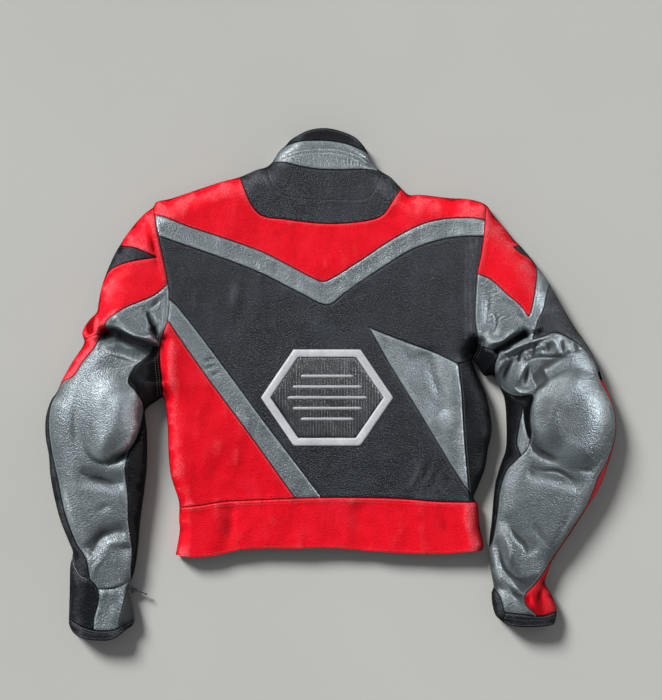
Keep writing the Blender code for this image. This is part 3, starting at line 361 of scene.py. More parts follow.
# Creases and rolls of the back: points, depth (a roll has less than 0), half width on the left and on the
# right
CREASES = (
    # left sleeve
    (((-337.5, 81), (-331.5, 87), (-321, 87.8), (-306, 82.5), (-288, 76), (-270, 68.5), (-256.5, 60)), -4,
      3.4, 3.4),
    (((-278, 116), (-271, 100), (-263, 84), (-255, 66), (-248, 50)), 5, 1.8, 3.4),
    (((-274, 106), (-267, 90), (-260, 74), (-254, 58), (-250, 46)), 4.5, 3, 5),
    (((-274, 108), (-263, 119), (-249, 131)), 1.8, 2.6, 3.4),
    (((-266, 108), (-258, 94), (-253, 80)), -1.6, 3, 3),
    (((-345, 68), (-335, 76), (-322, 78), (-304, 69.5), (-288, 63.5), (-272, 57.5), (-256, 52)), 15, 5.6,
      6.6),
    (((-345, 61.5), (-328.5, 59.2), (-313.5, 61.5), (-301.5, 55.5), (-285, 54), (-273, 48)), -3, 3, 3),
    (((-327.5, 42.9), (-310.5, 37.5), (-293, 33)), 1.3, 1.3, 1.3),
    (((-348, 48), (-337.5, 58.5)), 1, 2.5, 2.5),
    (((-379.5, -12), (-381, -42), (-381, -78), (-376.5, -108)), 1.0, 1.8, 4),
    (((-370.5, -138), (-349.5, -141), (-331.5, -145.5), (-313.5, -150.8)), 4, 2.8, 4),
    (((-330, -113), (-314, -108), (-298, -102)), 6, 5, 6),
    (((-358.5, -250.5), (-354, -238.5), (-345, -227.2), (-333, -222), (-315, -219)), 2.8, 4, 3.4),
    (((-334.5, -252), (-345, -264), (-353.2, -274.5), (-354, -283.5), (-349.5, -297)), -1.7, 2.6, 3.4),
    (((-328.5, -247.5), (-316.5, -245.2), (-304.5, -246), (-288, -248)), 1.2, 5, 5),
    (((-403.5, -144), (-397.5, -169.5), (-391.5, -195), (-382.5, -222), (-375, -243)), -2.4, 6, 3.5),
    (((-352.5, -193.5), (-339, -184.5), (-324, -178.5)), 1.3, 5, 5),
    (((-373.5, -181.5), (-364.5, -204), (-358.5, -231)), 0.9, 6, 6),
    (((-289.5, 18), (-282, 6), (-276, -10.5)), -1.5, 2.2, 2.2),
    (((-295.5, 9), (-288, -6), (-283.5, -18)), 1.6, 2.5, 2.5),
    (((-291, -84), (-295.5, -94.5), (-301.5, -106.5)), -1.5, 1.6, 1.6),
    (((-297, -115.5), (-292.5, -127.5), (-286.5, -139.5)), -1.3, 1.6, 1.6),
    (((-280.5, -30), (-283.5, -60), (-291.8, -84), (-304.5, -100.5), (-321, -111), (-339, -119.2)), 5.5,
      4.5, 2.4),
    (((-346.5, -309), (-328.5, -306.8), (-315, -303), (-303, -297)), 1.7, 3, 3),
    (((-339, -306), (-343.5, -324)), -1.5, 3, 3),
    (((-319.5, -324), (-325.5, -342), (-327, -360)), -1.2, 4, 4),
    (((-285, 147), (-304.5, 150), (-321, 141)), 0.9, 8, 8),
    (((-334.5, 126), (-316.5, 132), (-298.5, 130.5)), 0.7, 7, 7),
    (((-276, 250), (-271.5, 232), (-267, 214), (-261, 186), (-253.5, 157)), 3, 3, 4.4),
    (((-357, 106), (-360, 90), (-357, 68)), 9, 5, 7), (((-349, 110), (-348.5, 90), (-344, 70)), -2, 2.6, 3),
    (((-364.5, 69), (-355.5, 72), (-345, 67.5)), -2, 3, 3),
    # right sleeve
    (((228, 58.5), (238.5, 61.5), (253.5, 69.8), (265.5, 76.5), (277.5, 80.2)), -4.2, 3.2, 3.4),
    (((240, 48), (252, 55.5), (264, 63), (276, 69.5), (288, 74), (300, 76)), 12, 5.6, 4),
    (((246, 36), (258, 38.5), (272, 43.5), (287, 51), (304, 57), (324, 64.5)), 4, 2.4, 2.4),
    (((288, -10), (304, 14), (326, 32), (352, 44), (376, 50)), 3, 7, 7),
    (((295, -82), (306, -98), (326, -108), (345, -115)), 4.5, 3, 6),
    (((229.5, 70), (240, 77), (246, 87), (244.5, 102), (237, 118)), 2.2, 2.4, 3),
    (((225, 144), (227.2, 118.5), (225.8, 88.5), (220.5, 64.5)), -2.6, 3, 3.2),
    (((234, 152), (235.5, 118.5), (231, 88)), 1.6, 4, 2.6),
    (((268.5, 108), (286.5, 96), (295.5, 84)), 1.2, 5, 5),
    (((241, 66), (244.5, 59), (249, 51), (258, 46), (271.5, 51), (286.5, 58), (303, 64.5), (321, 71),
      (338, 76)), -7, 1.9, 2.1),
    (((252, 44), (259, 41.5), (272, 46.5), (287, 53.5), (304, 60), (321, 66.5), (338, 71)), 1.8, 1.6, 1.6),
    (((289.5, 54), (288, 36)), -2.4, 3, 3), (((314, 62), (312, 42)), -1.8, 3, 3),
    (((333, 70), (338.2, 40)), -2.6, 4, 4), (((352, 70), (356.5, 42)), -2.2, 4, 4),
    (((281.2, 48), (278.2, 31.5)), 3, 2.6, 2.6), (((304, 62), (300, 38)), 2, 2.8, 2.8),
    (((324.5, 68), (323, 42)), 1.8, 3, 3), (((344, 74), (347, 40)), 2.4, 3.4, 3.4),
    (((364, 64), (367, 46)), 1.8, 3, 3),
    (((288, 31.5), (297, 37.5), (307.5, 40.5), (325.5, 41.2), (346.5, 40.5), (361.5, 42.8), (373.5, 47.2)),
      1.7, 1.4, 1.4),
    (((267, 42), (256.5, 33), (249, 21), (250.5, 4.5)), -3.2, 4, 4),
    (((274.5, 43.5), (265.5, 27), (259.5, 9), (258, -7.5)), 5, 3, 3.2),
    (((288, 42), (285, 24), (279, 6), (276, -4.5)), -4, 3.6, 3.8),
    (((294.8, 33), (290.2, 13.5), (287.2, -6)), 4.5, 4, 2.5),
    (((270, -3), (279, -10.5), (289.5, -12.8), (300, -11.2)), -2.6, 1.8, 1.8),
    (((265.5, -9), (276, -18), (289.5, -19.5), (303, -13.5)), 4, 3, 3), (((300, 4), (322.5, 15)), 3, 9, 9),
    (((301.5, -11.2), (313.5, -3), (327, 6.8)), 2.8, 2, 2),
    (((299.2, -16.5), (294, -39), (294, -61.5), (299.2, -84), (313.5, -101.2), (333, -109.5)), 3.6, 2.2, 4),
    (((298.5, -126), (315, -128.2), (333, -128.2), (346.5, -132.8), (358.5, -141), (375, -150.8)), 3.6, 2.4,
      2.6),
    (((367.5, -129), (382.5, -129), (394.5, -133.5)), 1.6, 3, 3),
    (((285, -39), (287.2, -61.5), (291, -81), (294.8, -94.5)), -1.4, 1.6, 1.6),
    (((264, -202.5), (270, -216), (277.5, -228), (288, -238.5), (292.5, -249), (289.5, -265.5)), 2.8, 2.4,
      3.6),
    (((256.5, -222), (264, -237), (267.8, -252), (266.2, -279)), -2.4, 2.4, 2.2),
    (((249, -235.5), (252.8, -253.5), (258, -273), (268.5, -286.5), (282, -296.2), (298.5, -306)), 4.6, 2.2,
      2.6),
    (((242.2, -238.5), (244.5, -258), (249, -279), (256.5, -297), (268.5, -312), (280.5, -325.5)), -3, 2.8,
      2.6),
    (((252, -283.5), (262.5, -295.5), (274.5, -304.5), (288, -312)), -1.6, 2, 2),
    (((300, -204), (315, -229.5), (327, -248)), 1.3, 5, 5),
    (((265.5, -306), (277.5, -316.5), (292.5, -321)), 2.6, 2.4, 2.4),
    (((387, -156), (375, -181.5), (358.5, -205.5), (340.5, -235.5), (321, -268.5)), -1.8, 5, 4),
    (((313.5, -304.5), (312, -319.5), (313.5, -334.5)), 3.6, 3, 3),
    (((300, -309), (299.2, -324), (307.5, -337.5)), -2, 3, 3), (((324, -318), (330, -333)), -1.6, 3, 3),
    (((249, 126), (264, 121.5), (279, 108)), 0.8, 6, 6),
    # back
    (((152, -96), (142, -126), (134, -148), (120, -172)), 1.8, 5, 6.5),
    (((138, -96), (129, -130), (118, -152), (102, -172)), -1.3, 5, 5),
    (((170, -108), (158, -136), (148, -156), (134, -174)), 1.5, 5, 6),
    (((163, -104), (151, -132), (141, -154), (128, -172)), -1, 3.4, 3.4),
    (((174, -138), (168, -162)), 1.2, 6, 6), (((109.5, -106.5), (100.5, -135), (88.5, -162)), 0.6, 7.5, 7.5),
    (((31.5, -84), (30, -117), (22.5, -153)), -0.5, 9, 9),
    (((52.5, -93), (58.5, -129), (55.5, -162)), 0.6, 10.5, 10.5),
    (((234, -79.5), (228, -99), (226.5, -117), (219, -138), (208.5, -159)), -1.4, 2.6, 2.6),
    (((226.5, -78), (220.5, -102), (217.5, -126)), 1.2, 4.5, 4.5),
    (((217.5, 51), (223.5, 18), (223.5, -24)), 0.6, 7.5, 7.5),
    (((-204, 171), (-202.5, 132), (-205, 92)), -1.2, 4.5, 6),
    (((-191, 176), (-190, 136), (-187, 92)), 1, 7, 7),
    (((-126, 160), (-129, 126), (-136.5, 96), (-146, 60)), 1.5, 7, 8),
    (((-138, 164), (-144, 132), (-151, 104)), -1.3, 6.5, 7),
    (((-112, 140), (-108, 110), (-116, 84)), -0.8, 8, 8), (((-60, 112), (-40, 92), (-28, 78)), -0.6, 8, 8),
    (((-86, 88), (-66, 80), (-54, 90)), 0.6, 7, 7), (((-14, 104), (10, 88), (28, 66)), 0.6, 8, 8),
    (((60, 150), (40, 124), (36, 104)), -0.6, 9, 9), (((14, 118), (36, 132), (66, 148)), 0.9, 6, 7),
    (((100, 128), (104, 92), (98, 66)), 0.6, 9, 9), (((-192, 33), (-181, 36), (-170, 42)), 1.2, 2, 2.6),
    (((-198, 22), (-184, 24), (-168, 30)), 1.4, 2.2, 2.6),
    (((-190, 10), (-176, 14), (-160, 20)), 1.1, 2.2, 2.6), (((-183, 46), (-172, 50)), 0.9, 2, 2),
    (((141, 53), (144, 15), (153, -15), (171, -39)), -1.4, 6, 5),
    (((153, 47), (156, 9), (165, -15), (181, -38)), 1.4, 4, 6),
    (((112, 280.5), (122, 279.5), (140, 280), (166, 281)), 1.1, 1.2, 1.4),
    (((-226.5, 183), (-232.5, 141)), 0.6, 7.5, 7.5),
    (((159, 181.5), (172.5, 198), (187.5, 210)), -0.6, 6, 6),
    (((130.5, 162), (151.5, 183), (172.5, 207)), 0.6, 6.8, 6.8),
    (((187.5, 183), (189, 144), (181.5, 108)), 0.7, 7.5, 7.5),
    (((-90, 181), (-82.5, 168), (-84, 160)), 0.6, 5, 5),
    (((111, 283.5), (118.5, 274.5), (133.5, 272.2), (151.5, 276), (168, 277.5)), -1.3, 1.9, 2.2),
    (((109.5, 268.5), (100.5, 255), (88.5, 243)), 0.5, 7.5, 7.5), (((-9, 198), (-7.5, 156)), -0.6, 4.5, 4.5),
    (((31.5, 237), (46.5, 210), (61.5, 216)), 0.4, 10.5, 10.5), (((-82.5, 228), (-70.5, 213)), 0.3, 12, 12),
    (((67.5, 318), (61.5, 291), (52.5, 258)), 0.7, 7.5, 7.5), (((-118.5, 309), (-103.5, 282)), 0.4, 9, 9),
    (((-162, -88), (-169.5, -124), (-184, -172)), 1, 11, 15),
    (((-140, -84), (-146, -124), (-160, -168)), -0.6, 10, 10),
    (((-232.5, -84), (-220.5, -102), (-205.5, -117)), 0.6, 10.5, 10.5),
    (((-152, -168), (-151, -213), (-156, -262)), 1, 7, 16),
    (((-166, -176), (-166, -213), (-170, -256)), -0.6, 6, 8),
    (((-221, -176), (-218, -219), (-224, -262)), 0.8, 7, 10),
    (((56, -166), (58, -216), (50, -262)), 1.1, 12, 14),
    (((96, -170), (102, -216), (98, -256)), -0.7, 10, 12),
    (((150, -172), (168, -210), (192, -244)), 1.4, 9, 12),
    (((196, -178), (206, -210), (210, -244)), -0.7, 8, 8), (((223.5, -189), (223.5, -219)), -0.6, 6, 6),
    (((-184.5, 18), (-175.5, -21), (-178.5, -60)), 0.4, 10.8, 10.8), (((-114, 81), (-121.5, 42)), 0.4, 9, 9),
    (((133.5, 58.5), (157.5, 48)), 0.5, 7.5, 7.5), (((172.5, -66), (181.5, -90)), 0.7, 7.5, 6),
)
CREASE_DEPTH = 1.25          # all of them together
CREASE_REACH = 2.6          # how many half widths a crease is followed for
DEEP = 5                    # a crease deeper than this, and a roll or crease shorter than the next, ends soon
SHORT = 26
DEEP_END = 11.0             # run over which each kind fades at its ends
SHORT_END = 5.0
LONG_END = 60.0
# Painted shade in hollows and painted highlight on bulges: hollows darken the colour, bulges lighten it
HOLLOW_SHADE = 1.6           # how much hollows darken and bulges lighten the leather
# Gathered leather: line it hangs from, how near and how far from its left it reaches, depth, pitch, slant
GATHERS = (
    (((60, 326), (38, 337), (10, 345.5), (-24, 346.5), (-52, 343), (-74, 337)), 1.5, 17, 0.62, 5.6, 0.35),
    (((-70, 356), (-45, 363), (-8, 364), (20, 360), (42, 352)), 2, 16, 0.4, 5.5, 0.2),
    (((-240, -184), (-198, -181), (-160, -175.5), (-100, -172)), 1, -9, 0.25, 5.2, 0.1),
    (((250, 47), (270, 49), (300, 62), (336, 75)), -5, -19, 0.6, 9.5, 0.1),
    (((-150, 20), (-200, 90)), -14, 14, 0.3, 7.5, 0.0),
    (((222, 190), (220, 140), (220, 80)), 12, 58, 0.34, 7.0, 0.5),
    (((-318, 60), (-300, 54), (-276, 46)), -1, -14, 0.35, 8.0, 0.2),
)
DRAPE_SHIFT = (4.1, 9.7, 0.6)
# Painted shade of whole pieces that lie in shade, added to their painted shade depth in the colour, in mm;
# below 0 it paints the piece paler, a painted highlight
SHADE = {
    "gusset_right": 4.0, "inner_left": 5.0, "inner_right": 5.0, "side_right": 2.5, "elbow_right": 2.0,
    "pleat_right": 1.2, "upper_left": 1.5, "collar_back": -0.3, "back_taper": -1.7, "chevron": -0.8,
}
# Broad places of painted shade, and of painted highlight where the depth is below 0: points, depth in mm, half
# width on the left and right
SHADE_AREAS = (
    (((294, -280), (306, -318), (316, -356)), 7, 16, 24),
    (((-400, 30), (-404, -40), (-398, -130)), 1.9, 18, 14),
    (((-366, -8), (-336, -14), (-306, -26)), -4.6, 22, 22),
    (((-372, -96), (-336, -104), (-306, -96)), 1.4, 26, 20),
    (((392, 16), (406, -30), (404, -76)), -6, 18, 12), (((330, 20), (322, -40), (336, -100)), 2.4, 30, 26),
    (((400, -120), (376, -176), (338, -232)), -6.5, 12, 12),
    (((414, -112), (400, -146), (380, -176)), -3.4, 9, 9),
)
# Pieces of the duller black, a darker copy of the black leather: mostly painted shade for pieces that lie in
# shade
DULL_AND_SHADED = (
    "collar_edging", "gusset_right", "inner_left", "inner_right", "wrist_gusset_left", "side_right",
    "insert_left", "insert_right", "strip_left", "cuff_left_back", "cuff_right_back", "tab_right",
)
# Rolled lips that lean out over the hollow beside them: points, how far they lean, reach on the left and
# right
LIPS = (
    (((-334, 86), (-322, 89.5), (-306, 85), (-290, 78), (-272, 70.5), (-256, 61)), (-1.0, -5.5), 14, 4.8),
    (((229, 59), (240, 62.5), (254, 70.5), (266, 77.5), (282, 81)), (1.5, -4.0), 12, 4.2),
    (((245, 58), (249, 50), (258, 46), (270, 50.5), (285, 57.5), (304, 64), (321, 71)), (-0.8, 2.4), 3.0, 6),
)
# Creases of the front, which bulge up into the jacket from the floor
UNDER_CREASES = (
    (((-60, 210), (-90, 150), (-100, 80)), 1.8, 9, 14), (((90, 230), (120, 150), (118, 90)), 1.6, 10, 12),
    (((-150, 40), (-110, -20), (-100, -90)), 1.5, 12, 9),
    (((140, -10), (110, -70), (120, -140)), 1.7, 9, 12),
    (((-190, -120), (-130, -140), (-70, -136)), 1.4, 8, 10),
    (((60, -130), (120, -150), (180, -146)), 1.4, 8, 10), (((-330, 40), (-300, 62), (-268, 70)), 2.6, 8, 12),
    (((-392, -30), (-350, -50), (-300, -44)), 2.0, 9, 9),
    (((-380, -150), (-340, -168), (-300, -160)), 1.6, 8, 12),
    (((262, 44), (300, 60), (350, 56)), 2.6, 8, 12), (((280, -30), (330, -44), (392, -34)), 2.0, 9, 9),
    (((266, -150), (310, -172), (360, -160)), 1.6, 8, 12),
)

# Sheets: a piece that fills less of its box than this is measured as a strip, which fills this much of its
# run
BENT_SHARE = 0.36
STRIP_SHARE = 0.82

# Zip of the left cuff: a row of teeth on each side of its line
CUFF_ZIP = ((-303.6, -303), (-300.4, -316), (-298.2, -332), (-297.4, -346), (-299, -358))
TOOTH_PITCH = 2.6
TOOTH_REACH = 0.85
TOOTH_SIZE = (1.35 * MM, 2.3 * MM, 1.5 * MM)
FLAP_PIPING = ((-387, -254), (-384, -271), (-373, -288), (-361, -292))
# Half a ring over the leather, from side to side, and how small the rings at both ends are
TRIM_PROFILE = ((-0.5, -0.4), (-0.46, 0.25), (-0.3, 0.78), (0.0, 1.0), (0.3, 0.78), (0.46, 0.25), (0.5, -0.4))
TRIM_TAPER = (0.35, 0.75, 0.93)

FLOOR_HALF = 3.0
FLOOR_Z = -0.0003           # just under the jacket, so that the two faces don't meet
SENSOR = 36.0
CAMERA_HEIGHT = 5.0
CAMERA_Y = 0.051
CAMERA_SPAN = 0.993         # width that the picture takes in, at the next height
SPAN_AT = 0.012

# Leathers: dark, body, light and worn colour (the worn colour is also laid on as painted highlight),
# roughness, depth of grain, gloss, pearl, speckle, pitch of ribs
LEATHERS = {
    "red_leather": ((0.42, 0.001, 0.005), (0.92, 0.002, 0.015), (0.99, 0.013, 0.036), (1.0, 0.15, 0.18),
                    (0.50, 0.62), 0.8, 0.06),
    "grey_leather": ((0.020, 0.026, 0.029), (0.120, 0.146, 0.158), (0.175, 0.208, 0.222), (0.38, 0.43, 0.45),
                     (0.32, 0.40), 0.95, 0.8, 0.2, 0.6),
    "black_leather": ((0.002, 0.002, 0.003), (0.0115, 0.0135, 0.0195), (0.026, 0.030, 0.040),
                      (0.10, 0.108, 0.13), (0.30, 0.38), 1.5, 0.21, 0.0, 0.6),
    # A darker, duller copy of the black leather: painted shade for pieces that lie in shade
    "black_shaded_dull": ((0.001, 0.001, 0.002), (0.0055, 0.0065, 0.009), (0.016, 0.018, 0.024), (0.085, 0.09,
        0.105),
                   (0.42, 0.52), 1.1, 0.09, 0.0, 0.6),
    "patch_pale": ((0.36, 0.37, 0.39), (0.60, 0.61, 0.64), (0.72, 0.73, 0.76), (0.85, 0.85, 0.87),
                   (0.36, 0.48), 0.5, 0.4),
    "patch_black": ((0.003, 0.003, 0.004), (0.003, 0.003, 0.004), (0.012, 0.012, 0.015), (0.012, 0.012,
        0.015),
                    (0.36, 0.46), 0.6, 0.5, 0.0, 0.35, 0.0042),
}
# Cloths: dark and light colour, pitch of the weave, roughness, sheen
CLOTHS = {
    "black_knit": ((0.005, 0.005, 0.006), (0.020, 0.020, 0.023), 0.0016),
    "zip_tape": ((0.007, 0.007, 0.008), (0.024, 0.024, 0.027), 0.0011),
    "lining": ((0.008, 0.008, 0.010), (0.026, 0.026, 0.030), 0.0012, (0.55, 0.75), 0.08),
}
# Threads: dark and light colour
THREADS = {
    "thread_red": ((0.30, 0.006, 0.012), (0.62, 0.035, 0.05)),
    "thread_grey": ((0.16, 0.18, 0.185), (0.42, 0.45, 0.46)),
    "thread_black": ((0.014, 0.014, 0.016), (0.10, 0.102, 0.110)),
}
THREAD_FOR = {"red_leather": "thread_red", "grey_leather": "thread_grey"}
# Pale line of worn leather along a seam, by the distance to it
RIM_STOPS = ((0.12, (0.0, 0.0, 0.0)), (0.27, (0.42, 0.42, 0.42)), (0.62, (0.0, 0.0, 0.0)))

# --- lines in plan -----------------------------------------------------------

def smooth_line(points, step, straight=False):
    """Points every step along a soft line through some points, or along the straight runs between them."""
    pts = [np.array(p, float) for p in points]
    closed = np.allclose(pts[0], pts[-1])
    out = []
    for i in range(len(pts) - 1):
        a = pts[i]
        b = pts[i + 1]
        reach = np.linalg.norm(b - a)
        n = max(1, int(round(reach / step)))
        before = pts[i - 1] if i > 0 else (pts[-2] if closed else 2 * a - b)
        after = pts[i + 2] if i + 2 < len(pts) else (pts[1] if closed else 2 * b - a)
        ta = (b - before) / max(1e-6, np.linalg.norm(a - before) + reach) * reach
        tb = (after - a) / max(1e-6, np.linalg.norm(after - b) + reach) * reach
        for k in range(n):
            t = k / n
            if straight:
                out.append(a + (b - a) * t)
                continue
            h1 = 2 * t ** 3 - 3 * t ** 2 + 1
            h2 = t ** 3 - 2 * t ** 2 + t
            h3 = -2 * t ** 3 + 3 * t ** 2
            h4 = t ** 3 - t ** 2
            out.append(h1 * a + h2 * ta + h3 * b + h4 * tb)
    out.append(pts[-1])
    return np.array(out)


def segments(lines):
    """Start and end of each straight step of some lines."""
    return np.concatenate([np.stack([ln[:-1], ln[1:]], 1) for ln in lines])


def to_segments(p, segs, which):
    """Distance from each point to its own one of the segments, and the nearest point on it."""
    a = segs[which, 0]
    d = segs[which, 1] - a
    t = np.clip(((p - a) * d).sum(1) / np.maximum((d * d).sum(1), 1e-12), 0, 1)
    q = a + t[:, None] * d
    return np.linalg.norm(p - q, axis=1), q


def near_lines(p, segs):
    """Distance from each point to the nearest segment, the nearest point on it, and which segment it is."""
    steps = np.maximum(1, np.ceil(np.linalg.norm(segs[:, 1] - segs[:, 0], axis=1) / SEARCH_STEP).astype(int))
    tree = KDTree(int((steps + 1).sum()))
    owner = []
    for k, (n, (a, b)) in enumerate(zip(steps, segs)):
        for t in range(n + 1):
            tree.insert((*(a + (b - a) * (t / n)), 0.0), len(owner))
            owner.append(k)
    tree.balance()
    owner = np.array(owner)
    first = owner[[tree.find((x, y, 0.0))[1] for x, y in p.tolist()]]
    dist = np.full(len(p), np.inf)
    spot = np.empty((len(p), 2))
    which = first.copy()
    for shift in (0, -1, 1):
        k = np.clip(first + shift, 0, len(segs) - 1)
        far, q = to_segments(p, segs, k)
        closer = far < dist - 1e-12
        dist[closer] = far[closer]
        spot[closer] = q[closer]
        which[closer] = k[closer]
    return dist, spot, which


def beside(p, line):
    """Each point's distance from a line, over 0 on its left, the run along it, and the line's length."""
    segs = segments([line])
    dist, spot, which = near_lines(p, segs)
    run = segs[which, 1] - segs[which, 0]
    rel = p - spot
    side = run[:, 0] * rel[:, 1] - run[:, 1] * rel[:, 0]
    steps = np.linalg.norm(segs[:, 1] - segs[:, 0], axis=1)
    start = np.concatenate([[0], np.cumsum(steps)[:-1]])
    along = start[which] + np.linalg.norm(spot - segs[which, 0], axis=1)
    return dist, side, along, steps.sum()


def close_to(p, line, reach):
    """Numbers of the points in a line's box, made larger by reach."""
    return np.nonzero(((p > line.min(0) - reach) & (p < line.max(0) + reach)).all(1))[0]


def inside_loop(p, segs):
    """Whether each point lies inside the closed outline that the segments make."""
    a = segs[:, 0]
    b = segs[:, 1]
    out = np.zeros(len(p), bool)
    for s in range(0, len(p), AT_ONCE):
        part = p[s:s + AT_ONCE]
        hit = (a[None, :, 1] > part[:, None, 1]) != (b[None, :, 1] > part[:, None, 1])
        with np.errstate(divide="ignore", invalid="ignore"):
            rise = (part[:, None, 1] - a[None, :, 1]) / (b - a)[None, :, 1]
            xs = a[None, :, 0] + rise * (b - a)[None, :, 0]
        out[s:s + AT_ONCE] = (hit & (part[:, None, 0] < xs)).sum(1) % 2 == 1
    return out


def offset_line(line, amount):
    """A line moved sideways, to its left for more than 0."""
    t = np.gradient(line, axis=0)
    t /= np.maximum(np.linalg.norm(t, axis=1), 1e-9)[:, None]
    return line + amount * np.stack([-t[:, 1], t[:, 0]], 1)


def spaced(line, pitch):
    """Points at equal steps along a line."""
    run = np.concatenate([[0], np.cumsum(np.linalg.norm(np.diff(line, axis=0), axis=1))])
    at = np.arange(0.5 * pitch, run[-1], pitch)
    return np.column_stack([np.interp(at, run, line[:, 0]), np.interp(at, run, line[:, 1])])


CLOSED_EDGE = segments([smooth_line(p, LINE_STEP) for p in SIDES.values()])
CUP_SEGS = [segments([smooth_line(c[0] + (c[0][0],), CUP_STEP)]) for c in CUPS]
CROWN_TABLE = np.array(CROWN, float)


# --- form of the leather -----------------------------------------------------

def eased(t):
    """0 to 1 with soft ends."""
    return t * t * (3 - 2 * t)


def dome(s):
    """0 to 1 as a quarter circle rises."""
    return np.sqrt(np.maximum(0, 1 - (1 - s) ** 2))


def crown_at(p):
    """Crown height, edge radius and edge height, blended between the places in the table."""
    d2 = ((p[:, None] - CROWN_TABLE[None, :, :2]) ** 2).sum(2)
    w = np.exp(-(d2 - d2.min(1)[:, None]) / (2 * CROWN_SPREAD ** 2))
    w /= w.sum(1)[:, None]
    return w @ CROWN_TABLE[:, 2:]


def line_wave(p, x0, y0, x1, y1, left, right):
    """1 on the line between two points, falling to 0 over the half widths at its sides and at its ends."""
    a = np.array((x0, y0), float)
    d = np.array((x1 - x0, y1 - y0), float)
    length = np.linalg.norm(d)
    d /= length
    rel = p - a
    along = rel @ d
    side = rel @ np.array((-d[1], d[0]))
    width = np.where(side > 0, left, right)
    over = np.maximum(0, np.maximum(-along, along - length))
    return np.exp(-(side / width) ** 2) * np.exp(-(over / (0.8 * min(left, right))) ** 2)


def crease_sum(p, table):
    """Depth of all creases of a table at plan points p. A crease fades out towards its two ends."""
    total = np.zeros(len(p))
    for points, depth, left, right in table:
        line = smooth_line(points, CREASE_STEP)
        near = close_to(p, line, CREASE_REACH * max(left, right))
        if not len(near):
            continue
        dist, side, along, length = beside(p[near], line)
        width = np.where(side > 0, left, right)
        along = along / length
        soft_end = DEEP_END if depth > DEEP else (SHORT_END if length < SHORT else LONG_END)
        fade = np.clip(np.minimum(along, 1 - along) / min(0.5, soft_end / length), 0, 1)
        total[near] += depth * np.exp(-(dist / width) ** 2) * eased(fade)
    return total


def gathered(p):
    """Fine uneven waves that run off a line, as leather puckers where it is gathered or creased."""
    total = np.zeros(len(p))
    for number, (points, first, last, depth, pitch, slant) in enumerate(GATHERS):
        line = smooth_line(points, 4.0)
        near = close_to(p, line, max(abs(first), abs(last)) + 4)
        dist, side, along, length = beside(p[near], line)
        side = np.where(side > 0, dist, -dist)
        part = np.clip((side - first) / (last - first), 0, 1)
        window = np.sin(np.pi * np.sqrt(part)) * np.clip(np.minimum(along, length - along) / 9, 0, 1)
        turn = (along + slant * side) / pitch + 0.45 * ripple(p[near], 2.6 * pitch, 30 + number)
        uneven = 0.75 + 0.9 * ripple(p[near], 3.2 * pitch, 50 + number)
        total[near] += depth * window * uneven * np.sin(2 * np.pi * turn)
    return total


def leaning(p):
    """How far each point is carried sideways by the lips."""
    out = np.zeros((len(p), 2))
    for points, lean, left, right in LIPS:
        out += crease_sum(p, ((points, 1.0, left, right),))[:, None] * np.array(lean)
    return out


def waves(p, across, along, depth, shift):
    """Soft uneven waves between -1 and 1, about across wide and along long."""
    return np.array([noise.noise(Vector((x / across, y / along, depth)) + Vector(shift)) for x, y in p])


def ripple(p, size, seed):
    """Soft uneven waves about size across, between -1 and 1."""
    return waves(p, size, size, 0.0, (seed * 17.3, seed * 5.1, seed * 2.7))


def drape(p):
    """Long soft waves that hang down the body, and rounder ones over the sleeves."""
    body = np.clip((245 - np.abs(p[:, 0])) / 30, 0, 1) * np.clip((300 - p[:, 1]) / 40, 0, 1)
    hung = waves(p, 17, 62, 0.0, DRAPE_SHIFT)
    fine = waves(p, 7.5, 30, 3.0, DRAPE_SHIFT)
    sleeve = np.clip((np.abs(p[:, 0]) - 240) / 30, 0, 1)
    spread = 1.1 * ripple(p, 44.0, 1) + (0.5 - 0.2 * sleeve) * ripple(p, 18.0, 2) + 0.12 * ripple(p, 8.0, 3)
    return spread + body * (0.9 * hung + 0.28 * fine)


def height_from(p, d):
    """Height of the back's outer face at plan points p, with d their distance from the closed outer edge."""
    crown, radius, edge = crown_at(p).T
    z = edge + EDGE_GAP / 2 + (crown - edge) * dome(np.clip(d / radius, 0, 1))
    soft = eased(np.clip(d / CALM_EDGE, 0, 1))
    for (_, rise, step, (low, high), way, (start, full)), segs in zip(CUPS, CUP_SEGS):
        far = near_lines(p, segs)[0]
        far = np.where(inside_loop(p, segs), far, 0)
        t = np.clip(far / CUP_REACH, 0, 1)
        e = np.clip(far / CUP_EDGE, 0, 1)
        faded = np.clip((high - p[:, 1]) / (high - low), 0, 1)
        faded = faded * np.clip((p @ way - start) / (full - start), 0, 1)
        z = z + soft * rise * (0.5 * (1 - (1 - t) ** 2) + 0.5 * eased(t))
        z = z + soft * step * np.sqrt(1 - (1 - e) ** 2) * faded * faded * (3 - 2 * faded)
    sunk = np.zeros(len(p))
    for x0, y0, x1, y1, depth, left, right in FOLDS:
        sunk = np.maximum(sunk, depth * line_wave(p, x0, y0, x1, y1, left, right))
    z = z - soft * sunk
    for x0, y0, x1, y1, rise, wide in RIDGES:
        z = z + soft * rise * line_wave(p, x0, y0, x1, y1, wide, wide)
    near = np.clip(d / PLAIN_EDGE, 0, 1)
    z = z - near * (CREASE_DEPTH * crease_sum(p, CREASES) + gathered(p))
    return z + near * drape(p)


def under_from(p, d):
    """Height of the front's outer face, flat on the floor and rolled up to the outer edge."""
    edge = crown_at(p)[:, 2]
    z = (edge - EDGE_GAP / 2) * (1 - dome(np.clip(d / edge, 0, 1)))
    inner = np.clip((d - 8.0) / 16.0, 0, 1)
    return z + inner * np.maximum(0, crease_sum(p, UNDER_CREASES) + 0.5 * ripple(p, 60.0, 4))


# --- plan of the pieces ------------------------------------------------------

